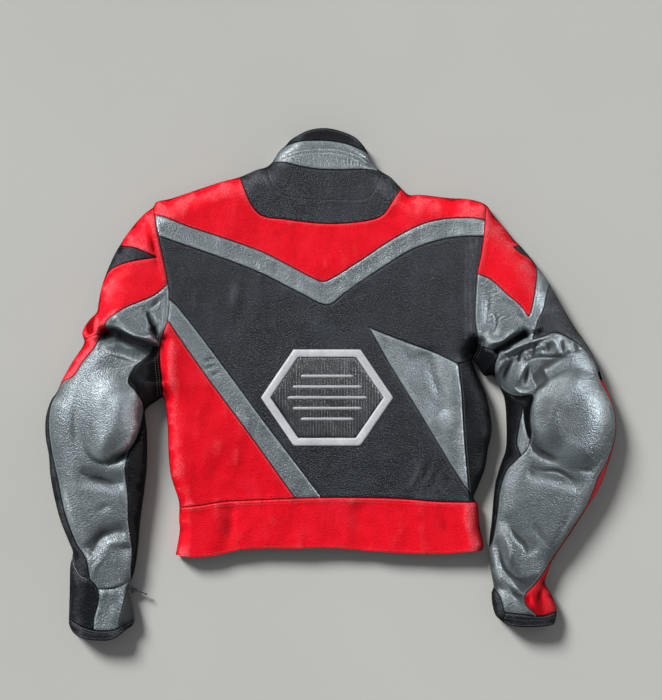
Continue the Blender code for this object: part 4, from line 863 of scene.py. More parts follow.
def drawn_lines(seams, scores):
    """Names, points and kinds of all lines of a plan: its outline, its seams and its scores."""
    names = list(SIDES) + list(ENDS)
    lines = [smooth_line(p, LINE_STEP) for p in list(SIDES.values()) + list(ENDS.values())]
    kinds = ["side"] * len(SIDES) + ["end"] * len(ENDS)
    for kind, table in (("seam", seams), ("score", scores)):
        for name, points in table.items():
            lines.append(smooth_line(points, LINE_STEP, name in STRAIGHT))
            kinds.append(kind)
            names.append(name)
    return names, lines, kinds


def run_onto_others(lines, kinds):
    """Carry both ends of each open seam onto the nearest other line, and onto the outline first."""
    for k, ln in enumerate(lines):
        if kinds[k] != "seam" or np.allclose(ln[0], ln[-1]):
            continue
        for end in (0, -1):
            best = None
            for j, o in enumerate(lines):
                if j == k:
                    continue
                r, q, i = near_lines(ln[end][None], segments([o]))
                r = r[0] - (OUTLINE_PULL if kinds[j] != "seam" and r[0] < OUTLINE_PULL else 0.0)
                if best is None or r < best[0] - 1e-9:
                    best = (r, q[0], j, i[0])
            _, q, j, i = best
            o = lines[j]
            for v in (o[i], o[i + 1]):
                if np.linalg.norm(v - q) < POINT_PULL:
                    q = v
            if not any(np.allclose(q, v) for v in (o[i], o[i + 1])):
                lines[j] = np.insert(o, i + 1, q, axis=0)
            ln[end] = q


def numbered(lines, kinds):
    """Shared points of the lines, the edges between them, and the kind of each edge."""
    verts = []
    index = {}
    edges = []
    edge_kind = []
    for ln, kind in zip(lines, kinds):
        ids = []
        for v in ln:
            key = (round(float(v[0]), 3), round(float(v[1]), 3))
            if key not in index:
                index[key] = len(verts)
                verts.append(key)
            ids.append(index[key])
        for a, b in zip(ids, ids[1:]):
            if a != b:
                edges.append((a, b))
                edge_kind.append(kind)
    return verts, edges, edge_kind


def rows_beside(lines, kinds, rings, edge_rings, all_segs, outline):
    """Points in rows on both sides of the lines, the nearest rows first, and how far off their rows run."""
    points = []
    depths = []
    for ln, kind in zip(lines, kinds):
        t = np.gradient(ln, axis=0)
        t /= np.maximum(np.linalg.norm(t, axis=1), 1e-9)[:, None]
        nrm = np.stack([t[:, 1], -t[:, 0]], 1)
        for depth in edge_rings if kind == "side" else rings:
            for s in (1, -1):
                points.append(ln + s * depth * nrm)
                depths.append(np.full(len(ln), depth))
    points = np.concatenate(points)
    depths = np.concatenate(depths)
    kept = (near_lines(points, all_segs)[0] > 0.9 * depths) & inside_loop(points, outline)
    points = points[kept]
    depths = depths[kept]
    order = np.argsort(depths, kind="stable")
    return points[order], depths[order]


def grid_over(x0, y0, x1, y1, step):
    """Points of a grid of even triangles over a box."""
    gx, gy = np.meshgrid(np.arange(x0, x1, step), np.arange(y0, y1, step * ROW_STEP))
    gx[1::2] += step / 2
    return np.column_stack([gx.ravel(), gy.ravel()])


def spread_out(groups, size):
    """The points of some groups, in turn, that leave each other room: (points, depths of rows, room)."""
    cells = {}
    chosen = []
    for points, depths, room in groups:
        for (x, y), depth in zip(points.tolist(), depths.tolist()):
            cx = int(x // size)
            cy = int(y // size)
            block = [(ix, iy) for ix in (cx - 1, cx, cx + 1) for iy in (cy - 1, cy, cy + 1)]
            free = True
            for ox, oy, other in (w for cell in block for w in cells.get(cell, ())):
                same_row = depth == ON_GRID or abs(other - depth) < 0.3
                if math.hypot(x - ox, y - oy) < (room if same_row else 0.45 * room):
                    free = False
                    break
            if free:
                chosen.append((x, y))
                cells.setdefault((cx, cy), []).append((x, y, depth))
    return chosen


def lay_out(seams, grid, rings, edge_rings, scores=(), fine_areas=()):
    """Cut the whole outline into regions along the seams: points, triangles, kinds of edge, and all lines."""
    names, lines, kinds = drawn_lines(seams, dict(scores))
    run_onto_others(lines, kinds)
    verts, edges, edge_kind = numbered(lines, kinds)
    outline = segments([ln for ln, kind in zip(lines, kinds) if kind in ("side", "end")])
    all_segs = segments(lines)
    low = np.array(verts).min(0)
    high = np.array(verts).max(0)
    wide = grid_over(*low, *high, grid)
    for x0, y0, x1, y1 in fine_areas:
        wide = wide[((wide < (x0, y0)) | (wide > (x1, y1))).any(1)]
    groups = [(*rows_beside(lines, kinds, rings, edge_rings, all_segs, outline), 0.6 * LINE_STEP)]
    for points, step in [(grid_over(*box, GRID_FINE), GRID_FINE) for box in fine_areas] + [(wide, grid)]:
        points = points[inside_loop(points, outline)]
        points = points[near_lines(points, all_segs)[0] > max(rings) + 0.55 * step]
        groups.append((points, np.full(len(points), ON_GRID), 0.62 * step))
    chosen = spread_out(groups, grid)
    out = delaunay_2d_cdt([Vector(v) for v in verts] + [Vector(v) for v in chosen], edges, [], 0, 1e-3)
    pts = np.array([tuple(v) for v in out[0]], float)
    tris = [tuple(f) for f in out[2]]
    kind_of = {}
    for e, src in zip(out[1], out[4]):
        found = {edge_kind[s] for s in src if s < len(edges)} - {"score"}
        if found:
            kind_of[tuple(sorted(e))] = "side" if "side" in found else ("end" if "end" in found else "seam")
    return pts, tris, kind_of, dict(zip(names, lines))


def turned(a, b, s):
    """Over 0 where s lies to the left of the way from a to b."""
    return (b - a)[:, 0] * (s - a)[:, 1] - (b - a)[:, 1] * (s - a)[:, 0]


def split(plan, seeds_of, crossed=()):
    """Number of the piece each triangle belongs to, from the points inside the pieces; -1 outside all."""
    pts, tris, kind_of, _ = plan
    arr = np.array(tris)
    a, b, c = pts[arr[:, 0]], pts[arr[:, 1]], pts[arr[:, 2]]
    by_edge = {}
    for k, f in enumerate(tris):
        for e in ((f[0], f[1]), (f[1], f[2]), (f[2], f[0])):
            by_edge.setdefault(tuple(sorted(e)), []).append(k)
    neighbours = [[] for _ in tris]
    for e, ks in by_edge.items():
        if len(ks) == 2 and (e not in kind_of or e in crossed):
            neighbours[ks[0]].append(ks[1])
            neighbours[ks[1]].append(ks[0])
    label = np.full(len(tris), -1)
    for n, (name, seeds) in enumerate(seeds_of):
        for s in seeds:
            s = np.array(s, float)
            turns = np.stack([turned(a, b, s), turned(b, c, s), turned(c, a, s)])
            hits = np.nonzero((turns >= 0).all(0) | (turns <= 0).all(0))[0]
            todo = [int(hits[0])]
            while todo:
                k = todo.pop()
                if label[k] == n:
                    continue
                if label[k] != -1:
                    raise ValueError("seam leaks at " + name + " and " + seeds_of[label[k]][0])
                label[k] = n
                todo.extend(m for m in neighbours[k] if label[m] != n)
    return label


def seam_facts(p, named, names):
    """For each point: distance to the nearest seam, its number, distance to its left and run along it."""
    spots = []
    for k, n in enumerate(names):
        ln = smooth_line(named[n], 1.0, True)
        t = np.gradient(ln, axis=0)
        run = np.concatenate([[0], np.cumsum(np.linalg.norm(np.diff(ln, axis=0), axis=1))])
        for v, d, r in zip(ln, t, run):
            spots.append((v[0], v[1], k, d[0], d[1], r))
    tree = KDTree(len(spots))
    for i, s in enumerate(spots):
        tree.insert((s[0], s[1], 0.0), i)
    tree.balance()
    hit = np.array(spots)[[tree.find((x, y, 0.0))[1] for x, y in p]]
    rel = p - hit[:, :2]
    t = hit[:, 3:5] / np.linalg.norm(hit[:, 3:5], axis=1)[:, None]
    side = t[:, 0] * rel[:, 1] - t[:, 1] * rel[:, 0]
    along = (rel * t).sum(1)
    dist = np.hypot(np.abs(side), np.maximum(0, np.abs(along) - 0.6))
    return dist, hit[:, 2].astype(int), side, hit[:, 5]


def seam_relief(p, named, used):
    """Height that seams add: the turned-down edges, the swell beside them and the puckers of the thread."""
    dist, which, side, run = seam_facts(p, named, used)
    bead = np.array([BEADS.get(n, PLAIN_BEAD) for n in used])
    to_left = 0.5 + 0.5 * np.clip(side, -1, 1)
    swell = bead[which, 0] * to_left + bead[which, 1] * (1 - to_left)
    is_end = np.array([n in ENDS for n in used])[which]
    z = -np.where(is_end, END_DROP, SEAM_DROP) * np.exp(-(dist / SEAM_WIDTH) ** 2)
    z = z + np.where(is_end, END_SWELL, swell) * np.exp(-((dist - 4.2) / 3.0) ** 2)
    pucker = np.sin(run * 0.95 + 2.2 * np.sin(run * 0.13)) * np.exp(-((dist - 4.0) / 3.6) ** 2)
    return z + PUCKER * pucker * (0.5 + np.clip(swell, 0, 1)), dist


# --- pieces of leather -------------------------------------------------------

def piece_parts(plan, label, n):
    """Own numbering of the points, triangles and border of piece n."""
    tris = plan[1]
    picked = [tris[k] for k in np.nonzero(label == n)[0]]
    ids = sorted({i for f in picked for i in f})
    where = {i: k for k, i in enumerate(ids)}
    faces = [tuple(where[i] for i in f) for f in picked]
    edges = {e for f in faces for e in ((f[0], f[1]), (f[1], f[2]), (f[2], f[0]))}
    return np.array(ids), faces, sorted((a, b) for a, b in edges if (b, a) not in edges)


def vertex_normals(verts, faces):
    """Unit normals of the points, from the faces round them."""
    n = np.cross(verts[faces[:, 1]] - verts[faces[:, 0]], verts[faces[:, 2]] - verts[faces[:, 0]])
    out = np.zeros_like(verts)
    for k in range(3):
        np.add.at(out, faces[:, k], n)
    return out / np.maximum(np.linalg.norm(out, axis=1), 1e-12)[:, None]


def drawn_in(flat, rim, amount):
    """Plan points with the sewn border pulled into the piece, so that neighbours leave a dark line."""
    out = flat.copy()
    push = {}
    for a, b in rim:
        d = flat[b] - flat[a]
        d = d / max(1e-9, np.linalg.norm(d))
        for i in (a, b):
            push.setdefault(i, []).append(np.array((-d[1], d[0])))
    for i, ns in push.items():
        n = sum(ns)
        size = np.linalg.norm(n)
        if size > 1e-6:
            out[i] += n / size * amount
    return out


def mesh_edges(faces):
    """The edges of some triangles, those between two of them twice."""
    return np.concatenate([faces[:, :2], faces[:, 1:], faces[:, ::2]])


def shared_normals(faces, outer):
    """Normals over the whole form, which neighbours share, and the same smoothed for the lining."""
    n = vertex_normals(outer, faces)
    soft = n.copy()
    edges = mesh_edges(faces)
    for _ in range(4):
        total = soft.copy()
        np.add.at(total, edges[:, 0], soft[edges[:, 1]])
        np.add.at(total, edges[:, 1], soft[edges[:, 0]])
        soft = total / np.maximum(np.linalg.norm(total, axis=1), 1e-12)[:, None]
    return n, soft


def hollows(faces, z):
    """How far each point lies below the leather round it."""
    edges = mesh_edges(faces)
    count = np.bincount(edges.ravel(), minlength=len(z)) + 1.0
    level = z.copy()
    for _ in range(14):
        total = level + np.bincount(edges[:, 0], level[edges[:, 1]], len(z))
        total += np.bincount(edges[:, 1], level[edges[:, 0]], len(z))
        level = total / count
    return level - z


def cut_size(flat, outer, faces, border):
    """Width, length and area in metres of a piece's leather: its box, or the run of a long strip."""
    f = np.array(faces)
    sides = np.cross(outer[f[:, 1]] - outer[f[:, 0]], outer[f[:, 2]] - outer[f[:, 0]])
    area = 0.5 * np.linalg.norm(sides, axis=1).sum()
    rim = sum(np.linalg.norm(outer[a] - outer[b]) for a, b in border)
    best = None
    for turn in np.radians(np.arange(0, 90, 6)):
        x = np.ptp(flat @ (math.cos(turn), math.sin(turn)))
        y = np.ptp(flat @ (-math.sin(turn), math.cos(turn)))
        if best is None or x * y < best[0] * best[1]:
            best = (x, y)
    short, long = sorted(best)
    spread = max(1.0, area / (short * long))
    short *= math.sqrt(spread)
    long *= math.sqrt(spread)
    if area < BENT_SHARE * short * long:
        long = rim / 2
        short = area / (STRIP_SHARE * long)
    return (short * MM, long * MM), area * MM * MM


def placed(name, data):
    """An object of some data, in the scene."""
    obj = bpy.data.objects.new(name, data)
    bpy.context.scene.collection.objects.link(obj)
    return obj


def new_object(name, mesh):
    """An object of a mesh, in the scene."""
    mesh.update()
    return placed(name, mesh)


def shell(name, outer, away, soft, faces, border, marks, shade_and_light, wall, lift):
    """A closed shell of one piece of leather: outer face, lining face and cut edges, in millimetres."""
    top = outer + away * (lift + (wall if lift else 0.0))
    low = outer + away * lift if lift else outer - soft * wall
    m = len(outer)
    polys = [tuple(f) for f in faces]
    polys += [(m + a, m + c, m + b) for a, b, c in faces]
    polys += [(b, a, m + a, m + b) for a, b in border]
    mesh = bpy.data.meshes.new(name)
    mesh.from_pydata((np.concatenate([top, low]) * MM).tolist(), [], polys)
    mesh.polygons.foreach_set("use_smooth", [True] * len(polys))
    mesh.polygons.foreach_set("material_index", [0] * len(faces) + [1] * len(faces) + [0] * len(border))
    for label, values in (("seam_mm", marks), ("shade_and_light_mm", shade_and_light)):
        attr = mesh.attributes.new(label, "FLOAT", "POINT")
        attr.data.foreach_set("value", np.concatenate([values, values]).astype(np.float32))
    return new_object(name, mesh)


def sew(name, plan, label, number, form, slot, under, wall=LEATHER, lift=0.0):
    """One piece of leather on the form, turned over if it lies on the floor; its cut size is worked out, not
    used.
    """
    pts, _, kind_of, _ = plan
    outer, away, soft, marks, shade_and_light = form
    ids, faces, border = piece_parts(plan, label, number)
    seam_rim = [(a, b) for a, b in border if kind_of.get(tuple(sorted((ids[a], ids[b])))) == "seam"]
    place = outer[ids].copy()
    place[:, :2] = drawn_in(place[:, :2], seam_rim, SEAM_DARK)
    if under == "floor":
        faces = [(a, c, b) for a, b, c in faces]
        border = [(b, a) for a, b in border]
    # Painted shade of the whole piece, added to the painted shade and light of its points; pieces in shade
    # also take the darker black copy, a painted shade too
    piece_shading = shade_and_light[ids] + SHADE.get(name, 0.0)
    obj = shell(name + "_leather", place, away[ids], soft[ids], faces, border, marks[ids], piece_shading, wall, lift)
    obj.data.materials.append(FINISH["black_shaded_dull" if name in DULL_AND_SHADED else slot])
    obj.data.materials.append(FINISH["lining"])
    flat, area = cut_size(pts[ids], place, faces, border)
    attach(obj, "jacket")
    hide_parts(name)


def make_form(plan, face, table, crossed=()):
    """Outer face, normals, seam distances and painted shade and light over a whole plan, and each triangle's
    piece.
    """
    pts, tris, _, named = plan
    upward = face is height_from
    label = split(plan, [(name, row[0]) for name, row in table.items()], crossed)
    faces = np.array(tris)[label >= 0]
    z = face(pts, near_lines(pts, CLOSED_EDGE)[0])
    used = [n for n in named if n not in SIDES and not n.startswith("patch")]
    relief, marks = seam_relief(pts, named, used)
    z = z + relief if upward else np.maximum(0.0, z - relief)
    outer = np.column_stack([pts + leaning(pts) if upward else pts, z])
    away, soft = shared_normals(faces, outer)
    if not upward:
        away, soft = -away, -soft
    # Painted shade and light in mm, over 0 darker: creases and hollows painted darker and bulges paler; on the
    # back also the gathers' troughs and crests, the drape's rises painted paler, and the broad painted shade
    # and highlight areas
    shade_and_light = crease_sum(pts, CREASES if upward else UNDER_CREASES) + HOLLOW_SHADE * hollows(faces, outer[:, 2])
    if upward:
        shade_and_light += 1.6 * gathered(pts) - 0.9 * drape(pts) + crease_sum(pts, SHADE_AREAS)
    return label, (outer, away, soft, marks, shade_and_light)


def patch_rim(plan):
    """Edges of the patch, which the leather under it runs through."""
    pts, _, kind_of, named = plan
    keys = set()
    for name in ("patch_out", "patch_in"):
        ring = [tuple(np.round(v, 2)) for v in named[name]]
        for a, b in zip(ring, ring[1:]):
            keys |= {(a, b), (b, a)}
    spots = [tuple(np.round(v, 2)) for v in pts]
    return {e for e in kind_of if (spots[e[0]], spots[e[1]]) in keys}


# --- materials ---------------------------------------------------------------

class Surface:
    """A material in the making: its nodes, its Principled shader and the object's own coordinates."""

    def __init__(self, name):
        self.mat = bpy.data.materials.new(name)
        self.mat.use_nodes = True
        self.nodes = self.mat.node_tree.nodes
        self.nodes.clear()
        self.shader = self.node("BsdfPrincipled")
        self.feed(self.shader.outputs["BSDF"], self.node("OutputMaterial").inputs["Surface"])
        self.coords = self.node("TexCoord").outputs["Object"]

    def feed(self, source, socket):
        self.mat.node_tree.links.new(source, socket)

    def node(self, kind, **values):
        """A node, with values for its sockets, whose names have _ for a space."""
        made = self.nodes.new("ShaderNode" + kind)
        for name, value in values.items():
            made.inputs[name.replace("_", " ")].default_value = value
        return made

    def shade(self, colour, roughness, height, **values):
        """Give the shader its colour, roughness, bumps and constants."""
        self.feed(colour, self.shader.inputs["Base Color"])
        self.feed(roughness, self.shader.inputs["Roughness"])
        if height:
            self.feed(height, self.shader.inputs["Normal"])
        for name, value in values.items():
            self.shader.inputs[name.replace("_", " ")].default_value = value
        return self.mat

    def noise(self, scale, detail=3.0, rough=0.55, stretch=None):
        """Noise with features about 1 / scale metres across."""
        tex = self.node("TexNoise", Scale=scale, Detail=detail, Roughness=rough)
        source = self.coords
        if stretch:
            mapping = self.node("Mapping", Scale=stretch)
            self.feed(source, mapping.inputs["Vector"])
            source = mapping.outputs["Vector"]
        self.feed(source, tex.inputs["Vector"])
        return tex.outputs["Fac"]

    def ribs(self, direction, pitch, distortion):
        """Waves pitch metres apart."""
        wave = self.node("TexWave", Scale=0.314 / pitch, Distortion=distortion)
        wave.bands_direction = direction
        self.feed(self.coords, wave.inputs["Vector"])
        return wave.outputs["Fac"]

    def attribute(self, name):
        made = self.node("Attribute")
        made.attribute_name = name
        return made.outputs["Fac"]

    def ramp(self, fac, *stops):
        """Colours over a factor: (place, colour) stops."""
        made = self.node("ValToRGB")
        for _ in range(len(stops) - 2):
            made.color_ramp.elements.new(0.5)
        for element, (spot, colour) in zip(made.color_ramp.elements, stops):
            element.position = spot
            element.color = (*colour, 1.0)
        self.feed(fac, made.inputs["Fac"])
        return made.outputs["Color"]

    def mapped(self, value, low, high, to_low, to_high, smooth=False):
        """A value carried from one range to another."""
        made = self.node("MapRange", From_Min=low, From_Max=high, To_Min=to_low, To_Max=to_high)
        if smooth:
            made.interpolation_type = "SMOOTHSTEP"
        self.feed(value, made.inputs["Value"])
        return made.outputs["Result"]

    def blended(self, fac, first, second, how="MIX"):
        """Two colours, each a socket or a constant, mixed by a factor."""
        made = self.node("Mix")
        made.data_type = "RGBA"
        made.blend_type = how
        self.feed(fac, made.inputs["Factor"])
        for socket, value in ((made.inputs[6], first), (made.inputs[7], second)):
            if isinstance(value, tuple):
                socket.default_value = (*value, 1.0)
            else:
                self.feed(value, socket)
        return made.outputs[2]

    def combined(self, how, a, b):
        made = self.node("Math")
        made.operation = how
        self.feed(a, made.inputs[0])
        self.feed(b, made.inputs[1])
        return made.outputs[0]

    def bump(self, height, strength, distance, below=None):
        """Relief of a height, over the relief below it."""
        made = self.node("Bump", Strength=strength, Distance=distance)
        self.feed(height, made.inputs["Height"])
        if below:
            self.feed(below, made.inputs["Normal"])
        return made.outputs["Normal"]

    def pebbles(self, grain):
        """The grain of cowhide: round cells, pushed about by a noise, with fine wrinkles over them."""
        cells = self.node("TexVoronoi", Scale=520.0)
        cells.feature = "SMOOTH_F1"
        cells.inputs["Smoothness"].default_value = 0.35
        warp = self.node("VectorMath")
        warp.operation = "MULTIPLY_ADD"
        jitter = self.node("TexNoise", Scale=240.0)
        self.feed(self.coords, jitter.inputs["Vector"])
        self.feed(jitter.outputs["Color"], warp.inputs[0])
        warp.inputs[1].default_value = (0.0011, 0.0011, 0.0011)
        self.feed(self.coords, warp.inputs[2])
        self.feed(warp.outputs["Vector"], cells.inputs["Vector"])
        raised = self.bump(cells.outputs["Distance"], 0.7 * grain, 0.0009)
        raised.node.invert = True
        return self.bump(self.noise(330.0, 4.0, 0.7), 0.5 * grain, 0.0012, raised)


def leather(name, dark, body, light, worn_and_highlight, rough, grain, gloss=0.5, pearl=0.0, speckle=0.35, rib_pitch=None):
    """Pebbled cowhide: mottled, dark down in the seams, paler and smoother where it wears; painted shade in
    creases and shaded places, painted highlight on rolls and lit places.
    """
    s = Surface(name)
    cloud = s.noise(19.0)
    fine = s.noise(470.0, 3.0, 0.65)
    middling = tuple(0.72 * b + 0.28 * d for b, d in zip(body, dark))
    mottled = s.ramp(cloud, (0.25, middling), (0.5, body), (0.8, light))
    pale_spots = s.blended(s.mapped(fine, 0.48, 0.72, 0.0, speckle), mottled, light)
    speckled = s.blended(s.mapped(fine, 0.50, 0.30, 0.0, speckle), pale_spots, dark)
    seam = s.attribute("seam_mm")
    shading = s.attribute("shade_and_light_mm")
    # Painted highlight and wear: the worn colour where the painted shade and light is below 0, on rolls,
    # bulges and lit places
    worn_and_lit = s.mapped(shading, -0.5, -4.0, 0.0, 0.75, True)
    rim = s.ramp(s.mapped(seam, 0.0, 6.0, 0.0, 1.0), *RIM_STOPS)
    spots = s.mapped(fine, 0.42, 0.6, 0.25, 1.0)
    high = s.blended(s.combined("MULTIPLY", worn_and_lit, spots), speckled, worn_and_highlight)
    high = s.blended(s.combined("MULTIPLY", rim, spots), high, worn_and_highlight)
    # Painted shade: the colour darkens where the painted shade and light is over 0, in creases, hollows and
    # shaded places
    low = s.blended(s.mapped(shading, 0.4, 6.4, 0.0, 0.86, True), high, tuple(0.5 * c for c in dark))
    colour = s.blended(s.mapped(seam, 0.1, 1.5, 0.7, 0.0, True), low, dark)
    deep = s.mapped(shading, 1.5, 5.0, 0.0, 0.95, True)
    satin = s.mapped(cloud, 0.3, 0.7, *rough)
    relief = s.pebbles(grain)
    if rib_pitch:
        relief = s.bump(s.ribs("X", rib_pitch, 0.15), 0.7, 0.0009, relief)
    dull = s.combined("MAXIMUM", satin, deep)
    return s.shade(colour, dull, relief, Specular_IOR_Level=gloss, Metallic=pearl)


def woven(name, dark, light, pitch, rough=(0.75, 0.95), sheen=0.04):
    """Cloth or tape: two crossed ribs of threads and a slightly uneven colour."""
    s = Surface(name)
    weave = s.blended(s.ribs("X", pitch, 0.6), s.ribs("Y", pitch, 0.6), (0.5, 0.5, 0.5), "MULTIPLY")
    fibre = s.noise(700.0, 2.0)
    return s.shade(s.ramp(fibre, (0.35, dark), (0.7, light)), s.mapped(fibre, 0.3, 0.7, *rough),
                   s.bump(weave, 0.5, 0.0004), Sheen_Weight=sheen, Sheen_Roughness=0.5)


def metal(name, colour, edge):
    """Dark plated metal with fine scratches."""
    s = Surface(name)
    scuffs = s.noise(900.0, 4.0, 0.7, (1.0, 0.15, 1.0))
    return s.shade(s.ramp(scuffs, (0.4, colour), (0.72, edge)), s.mapped(scuffs, 0.3, 0.7, 0.24, 0.42),
                   s.bump(scuffs, 0.15, 0.0002), Metallic=0.9)


def thread(name, dark, light):
    """Waxed sewing thread, twisted."""
    s = Surface(name)
    twist = s.noise(1600.0, 2.0)
    return s.shade(s.ramp(twist, (0.35, dark), (0.65, light)), s.mapped(twist, 0.3, 0.7, 0.45, 0.65), None,
                   Sheen_Weight=0.2)


def painted_floor():
    """Pale even paint."""
    s = Surface("pale_floor")
    cloud = s.noise(1.3)
    return s.shade(s.ramp(cloud, (0.3, (0.525, 0.525, 0.492)), (0.7, (0.565, 0.567, 0.540))),
                   s.mapped(cloud, 0.3, 0.7, 0.72, 0.8), None, Specular_IOR_Level=0.2)


FINISH = {
    **{name: leather(name, *row) for name, row in LEATHERS.items()},
    **{name: woven(name, *row) for name, row in CLOTHS.items()},
    **{name: thread(name, *row) for name, row in THREADS.items()},
    "zip_metal": metal("zip_metal", (0.035, 0.035, 0.038), (0.15, 0.15, 0.155)),
}


# --- stitching, zips and trims -----------------------------------------------

def drop(tree, x, y):
    """Point, normal and triangle of the back under plan point x, y, in metres, or None."""
    hit = tree.ray_cast(Vector((x * MM, y * MM, 0.2)), Vector((0.0, 0.0, -1.0)))
    return hit[:3] if hit[0] is not None else None


def mesh_object(name, verts, faces, finish, smooth=True):
    """An object of one finish on the jacket, from points in metres."""
    mesh = bpy.data.meshes.new(name)
    mesh.from_pydata([tuple(v) for v in verts], [], faces)
    mesh.polygons.foreach_set("use_smooth", [smooth] * len(faces))
    obj = new_object(name, mesh)
    obj.data.materials.append(FINISH[finish])
    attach(obj, "jacket")


def ring_faces(base, rings, count):
    """Faces between rings of count points each, the first of which starts at base."""
    out = []
    for ring in range(rings - 1):
        for k in range(count):
            p = base + ring * count + k
            q = base + ring * count + (k + 1) % count
            out.append((p, q, q + count, p + count))
    return out


def add_capsule(verts, faces, a, b, up, radius, sides=5):
    """A stitch from a to b: a small barrel with tapered ends, sunk a little where it enters the leather."""
    run = b - a
    side = run.cross(up)
    if side.length < 1e-9:
        return
    side.normalize()
    lift = side.cross(run).normalized()
    base = len(verts)
    for t, r, rise in STITCH_RINGS:
        centre = a + run * t + lift * (rise * radius)
        for k in range(sides):
            turn = 2 * math.pi * k / sides
            verts.append(centre + (side * math.cos(turn) + lift * math.sin(turn)) * (r * radius))
    faces += ring_faces(base, 4, sides)
    faces.append(tuple(base + k for k in reversed(range(sides))))
    faces.append(tuple(base + 3 * sides + k for k in range(sides)))


def stitch_rows():
    """All lines of top stitching, in plan."""
    for seam, amounts in STITCHES.items():
        for amount in amounts:
            yield offset_line(smooth_line(SEAMS_TOP[seam], STITCH_STEP, seam in STRAIGHT), amount)
    for points in LOOSE_STITCHES:
        yield offset_line(smooth_line(points, STITCH_STEP), 0.0)
    for name in STITCHED_SCORES:
        yield smooth_line(SCORES[name], STITCH_STEP)
    for end, amount in END_STITCHES:
        yield offset_line(smooth_line(ENDS[end], STITCH_STEP), amount)


def stitch_all(tree, piece_under):
    """Every stitch, gathered by the colour of its thread."""
    slots = [row[1] for row in TOP_PIECES.values()]
    made = {name: ([], []) for name in THREADS}
    for row in stitch_rows():
        spots = spaced(row, STITCH_PITCH / 2)
        for a, b in zip(spots[::2], spots[1::2]):
            middle = (a + b) / 2
            reach = (b - a) / np.linalg.norm(b - a) * STITCH_LENGTH / 2
            start = drop(tree, *(middle - reach))
            end = drop(tree, *(middle + reach))
            if not start or not end or (start[0] - end[0]).length > 1.8 * STITCH_LENGTH * MM:
                continue
            verts, faces = made[THREAD_FOR.get(slots[piece_under[start[2]]], "thread_black")]
            add_capsule(verts, faces, start[0], end[0], start[1], STITCH_RADIUS * MM)
    for name, (verts, faces) in made.items():
        mesh_object(name.replace("thread", "stitching"), verts, faces, name)


def add_block(verts, faces, middle, along, across, up, size):
    """A small block with its top narrowed, as a zip tooth is."""
    base = len(verts)
    for rise, shrink in ((-0.5, 1.0), (0.3, 1.0), (0.5, 0.7)):
        for i, j in ((-0.5, -0.5), (0.5, -0.5), (0.5, 0.5), (-0.5, 0.5)):
            flat = middle + along * (i * size[0] * shrink) + across * (j * size[1] * shrink)
            verts.append(flat + up * (rise * size[2]))
    faces.append((base + 3, base + 2, base + 1, base))
    faces += ring_faces(base, 3, 4)
    faces.append((base + 8, base + 9, base + 10, base + 11))


def zip_teeth(name, tree, line):
    """Two rows of teeth that mesh along a line."""
    verts = []
    faces = []
    run = smooth_line(line, 1.0)
    for shift, start in ((TOOTH_REACH, 0.0), (-TOOTH_REACH, 0.5)):
        spots = spaced(offset_line(run, shift), TOOTH_PITCH)
        ahead = np.gradient(spots, axis=0)
        for spot, t in zip(spots + ahead * start, ahead):
            hit = drop(tree, *spot)
            if not hit:
                continue
            point, up, _ = hit
            along = Vector((t[0], t[1], 0.0)).normalized()
            across = up.cross(along).normalized()
            add_block(verts, faces, point + up * (0.35 * MM), along, across, up, TOOTH_SIZE)
    mesh_object(name, verts, faces, "zip_metal", False)


def trim(name, tree, points, wide, tall, slot):
    """A rounded raised strip laid along a line on the back, such as piping or a bar on the patch."""
    line = smooth_line(points, 2.0)
    verts = []
    rings = 0
    for spot, t in zip(line, np.gradient(line, axis=0)):
        hit = drop(tree, *spot)
        if not hit:
            continue
        along = Vector((t[0], t[1], 0.0)).normalized()
        up = Vector((hit[1].x * 0.5, hit[1].y * 0.5, hit[1].z)).normalized()
        across = up.cross(along).normalized()
        taper = TRIM_TAPER[rings] if rings < len(TRIM_TAPER) else 1.0
        for x, z in TRIM_PROFILE:
            verts.append(hit[0] + across * (x * wide * MM * taper) + up * (z * tall * MM * taper))
        rings += 1
    n = len(TRIM_PROFILE)
    for k, scale in enumerate(TRIM_TAPER):
        first = (rings - 1 - k) * n
        ring = verts[first:first + n]
        middle = sum(ring, Vector()) / n
        verts[first:first + n] = [middle + (v - middle) * scale for v in ring]
    faces = [(a, d, c, b) for a, b, c, d in ring_faces(0, rings, n)]
    faces.append(tuple(range(n)))
    faces.append(tuple((rings - 1) * n + k for k in reversed(range(n))))
    mesh_object(name, verts, faces, slot)


# --- the jacket --------------------------------------------------------------

def sew_all(plan, label, form, table):
    for number, (name, (_, slot, under)) in enumerate(table.items()):
        sew(name, plan, label, number, form, slot, under)


def patch_on(plan, form):
    """The patch on the back: its rolled border and its field."""
    outer, away, soft, _, shade_and_light = form
    lines = [smooth_line(SEAMS_TOP[n], 2.0, True) for n in ("patch_out", "patch_in")]
    from_rim = near_lines(plan[0], segments(lines))[0]
    rolled = outer.copy()
    rolled[:, 2] -= PATCH_ROLL * np.exp(-(from_rim / 1.5) ** 2)
    label = split(plan, [(name, row[0]) for name, row in PATCH_PIECES.items()])
    patch = (rolled, away, soft, from_rim, shade_and_light)
    for number, (name, (_, slot, wall)) in enumerate(PATCH_PIECES.items()):
        sew(name, plan, label, number, patch, slot, "back_main", wall, PATCH_LIFT)


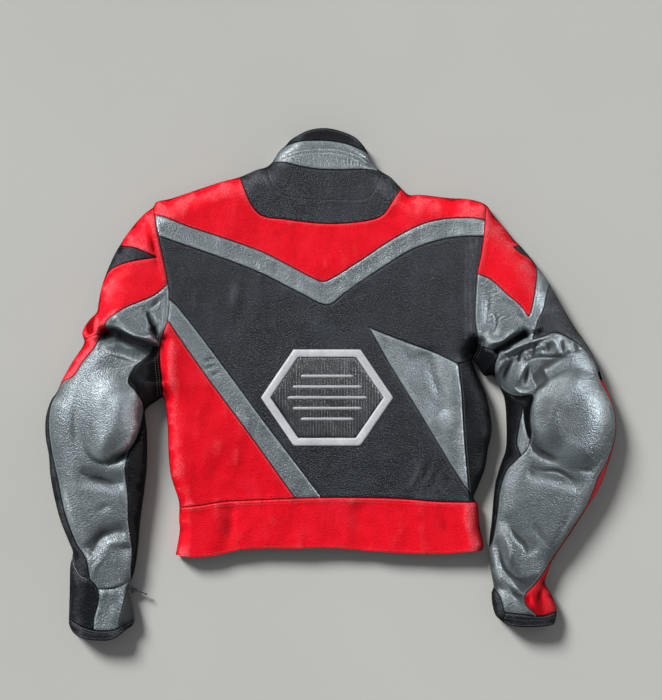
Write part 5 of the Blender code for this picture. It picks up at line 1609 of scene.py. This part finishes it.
def build_jacket():
    """All pieces, the undersides first, then what is sewn on them."""
    under_plan = lay_out(SEAMS_UNDER, GRID_UNDER, UNDER_RINGS, UNDER_EDGE_RINGS)
    sew_all(under_plan, *make_form(under_plan, under_from, UNDER_PIECES), UNDER_PIECES)
    top_plan = lay_out(SEAMS_TOP, GRID_TOP, TOP_RINGS, TOP_EDGE_RINGS, SCORES, FINE_AREAS)
    label, form = make_form(top_plan, height_from, TOP_PIECES, patch_rim(top_plan))
    sew_all(top_plan, label, form, TOP_PIECES)
    kept = np.nonzero(label >= 0)[0]
    tree = BVHTree.FromPolygons((form[0] * MM).tolist(), [top_plan[1][k] for k in kept])
    stitch_all(tree, label[kept])
    zip_teeth("cuff_zip_teeth", tree, CUFF_ZIP)
    trim("flap_piping", tree, FLAP_PIPING, 2.2, 1.2, "grey_leather")
    patch_on(top_plan, form)
    for number, (x0, x1, y) in enumerate(PATCH_BARS):
        trim("patch_bar_%d" % number, tree, ((x0, y), (x1, y)), BAR_WIDTH, BAR_HEIGHT, "patch_pale")
    for node in ("zip_slider_left", "zip_pull_left"):
        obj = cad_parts[node]
        if not obj.material_slots:
            obj.data.materials.append(FINISH["zip_metal"])
        for slot in obj.material_slots:
            slot.material = FINISH["zip_metal"]


# --- floor, light and camera -------------------------------------------------

def floor():
    """A plain square under the jacket."""
    mesh = bpy.data.meshes.new("floor")
    corners = [(x * FLOOR_HALF, y * FLOOR_HALF, FLOOR_Z) for x, y in ((-1, -1), (1, -1), (1, 1), (-1, 1))]
    mesh.from_pydata(corners, [], [(0, 1, 2, 3)])
    mesh.materials.append(painted_floor())
    new_object("floor", mesh)


def light_from(name, light, spot, target):
    """A light at a spot, turned to its target."""
    obj = placed(name, light)
    obj.location = spot
    obj.rotation_euler = (Vector(target) - Vector(spot)).to_track_quat("-Z", "Y").to_euler()
    return obj


def sheen_light(name, spot, target, size, power):
    """A soft box that shows in the leather's gloss alone."""
    light = bpy.data.lights.new(name, "AREA")
    light.shape = "RECTANGLE"
    light.size, light.size_y = size
    light.energy = power
    light.color = (0.88, 0.95, 1.0)
    obj = light_from(name, light, spot, target)
    obj.visible_camera = False
    obj.visible_diffuse = False


def studio():
    """One broad sun from the upper left, soft boxes for the gloss, and a dim even sky."""
    sun = bpy.data.lights.new("sun", "SUN")
    sun.energy = 3.85
    sun.angle = math.radians(19.0)
    light_from("sun", sun, (-1.25, 1.42, 1.36), (0.0, 0.0, 0.0))
    sheen_light("left_box", (-1.0, 0.35, 1.9), (-0.2, 0.0, 0.0), (0.7, 0.9), 5.0)
    sheen_light("left_strip", (-0.95, 0.42, 0.95), (-0.33, -0.03, 0.0), (0.35, 0.6), 13.0)
    sheen_light("right_strip", (1.3, 0.22, 0.7), (0.38, -0.05, 0.0), (0.35, 0.8), 34.0)
    world = bpy.data.worlds.new("studio")
    world.use_nodes = True
    sky = world.node_tree.nodes["Background"]
    sky.inputs["Color"].default_value = (0.95, 0.97, 1.0, 1.0)
    sky.inputs["Strength"].default_value = 0.19
    bpy.context.scene.world = world
    bpy.context.scene.view_settings.view_transform = "Standard"


def camera():
    """The camera straight above, with the photograph's frame."""
    lens = bpy.data.cameras.new("camera")
    lens.sensor_width = SENSOR
    lens.sensor_fit = "HORIZONTAL"
    lens.lens = SENSOR * (CAMERA_HEIGHT - SPAN_AT) / CAMERA_SPAN
    lens.clip_end = 20.0
    obj = placed("camera", lens)
    obj.location = (0.0, CAMERA_Y, CAMERA_HEIGHT)
    bpy.context.scene.camera = obj


build_jacket()
floor()
studio()
camera()
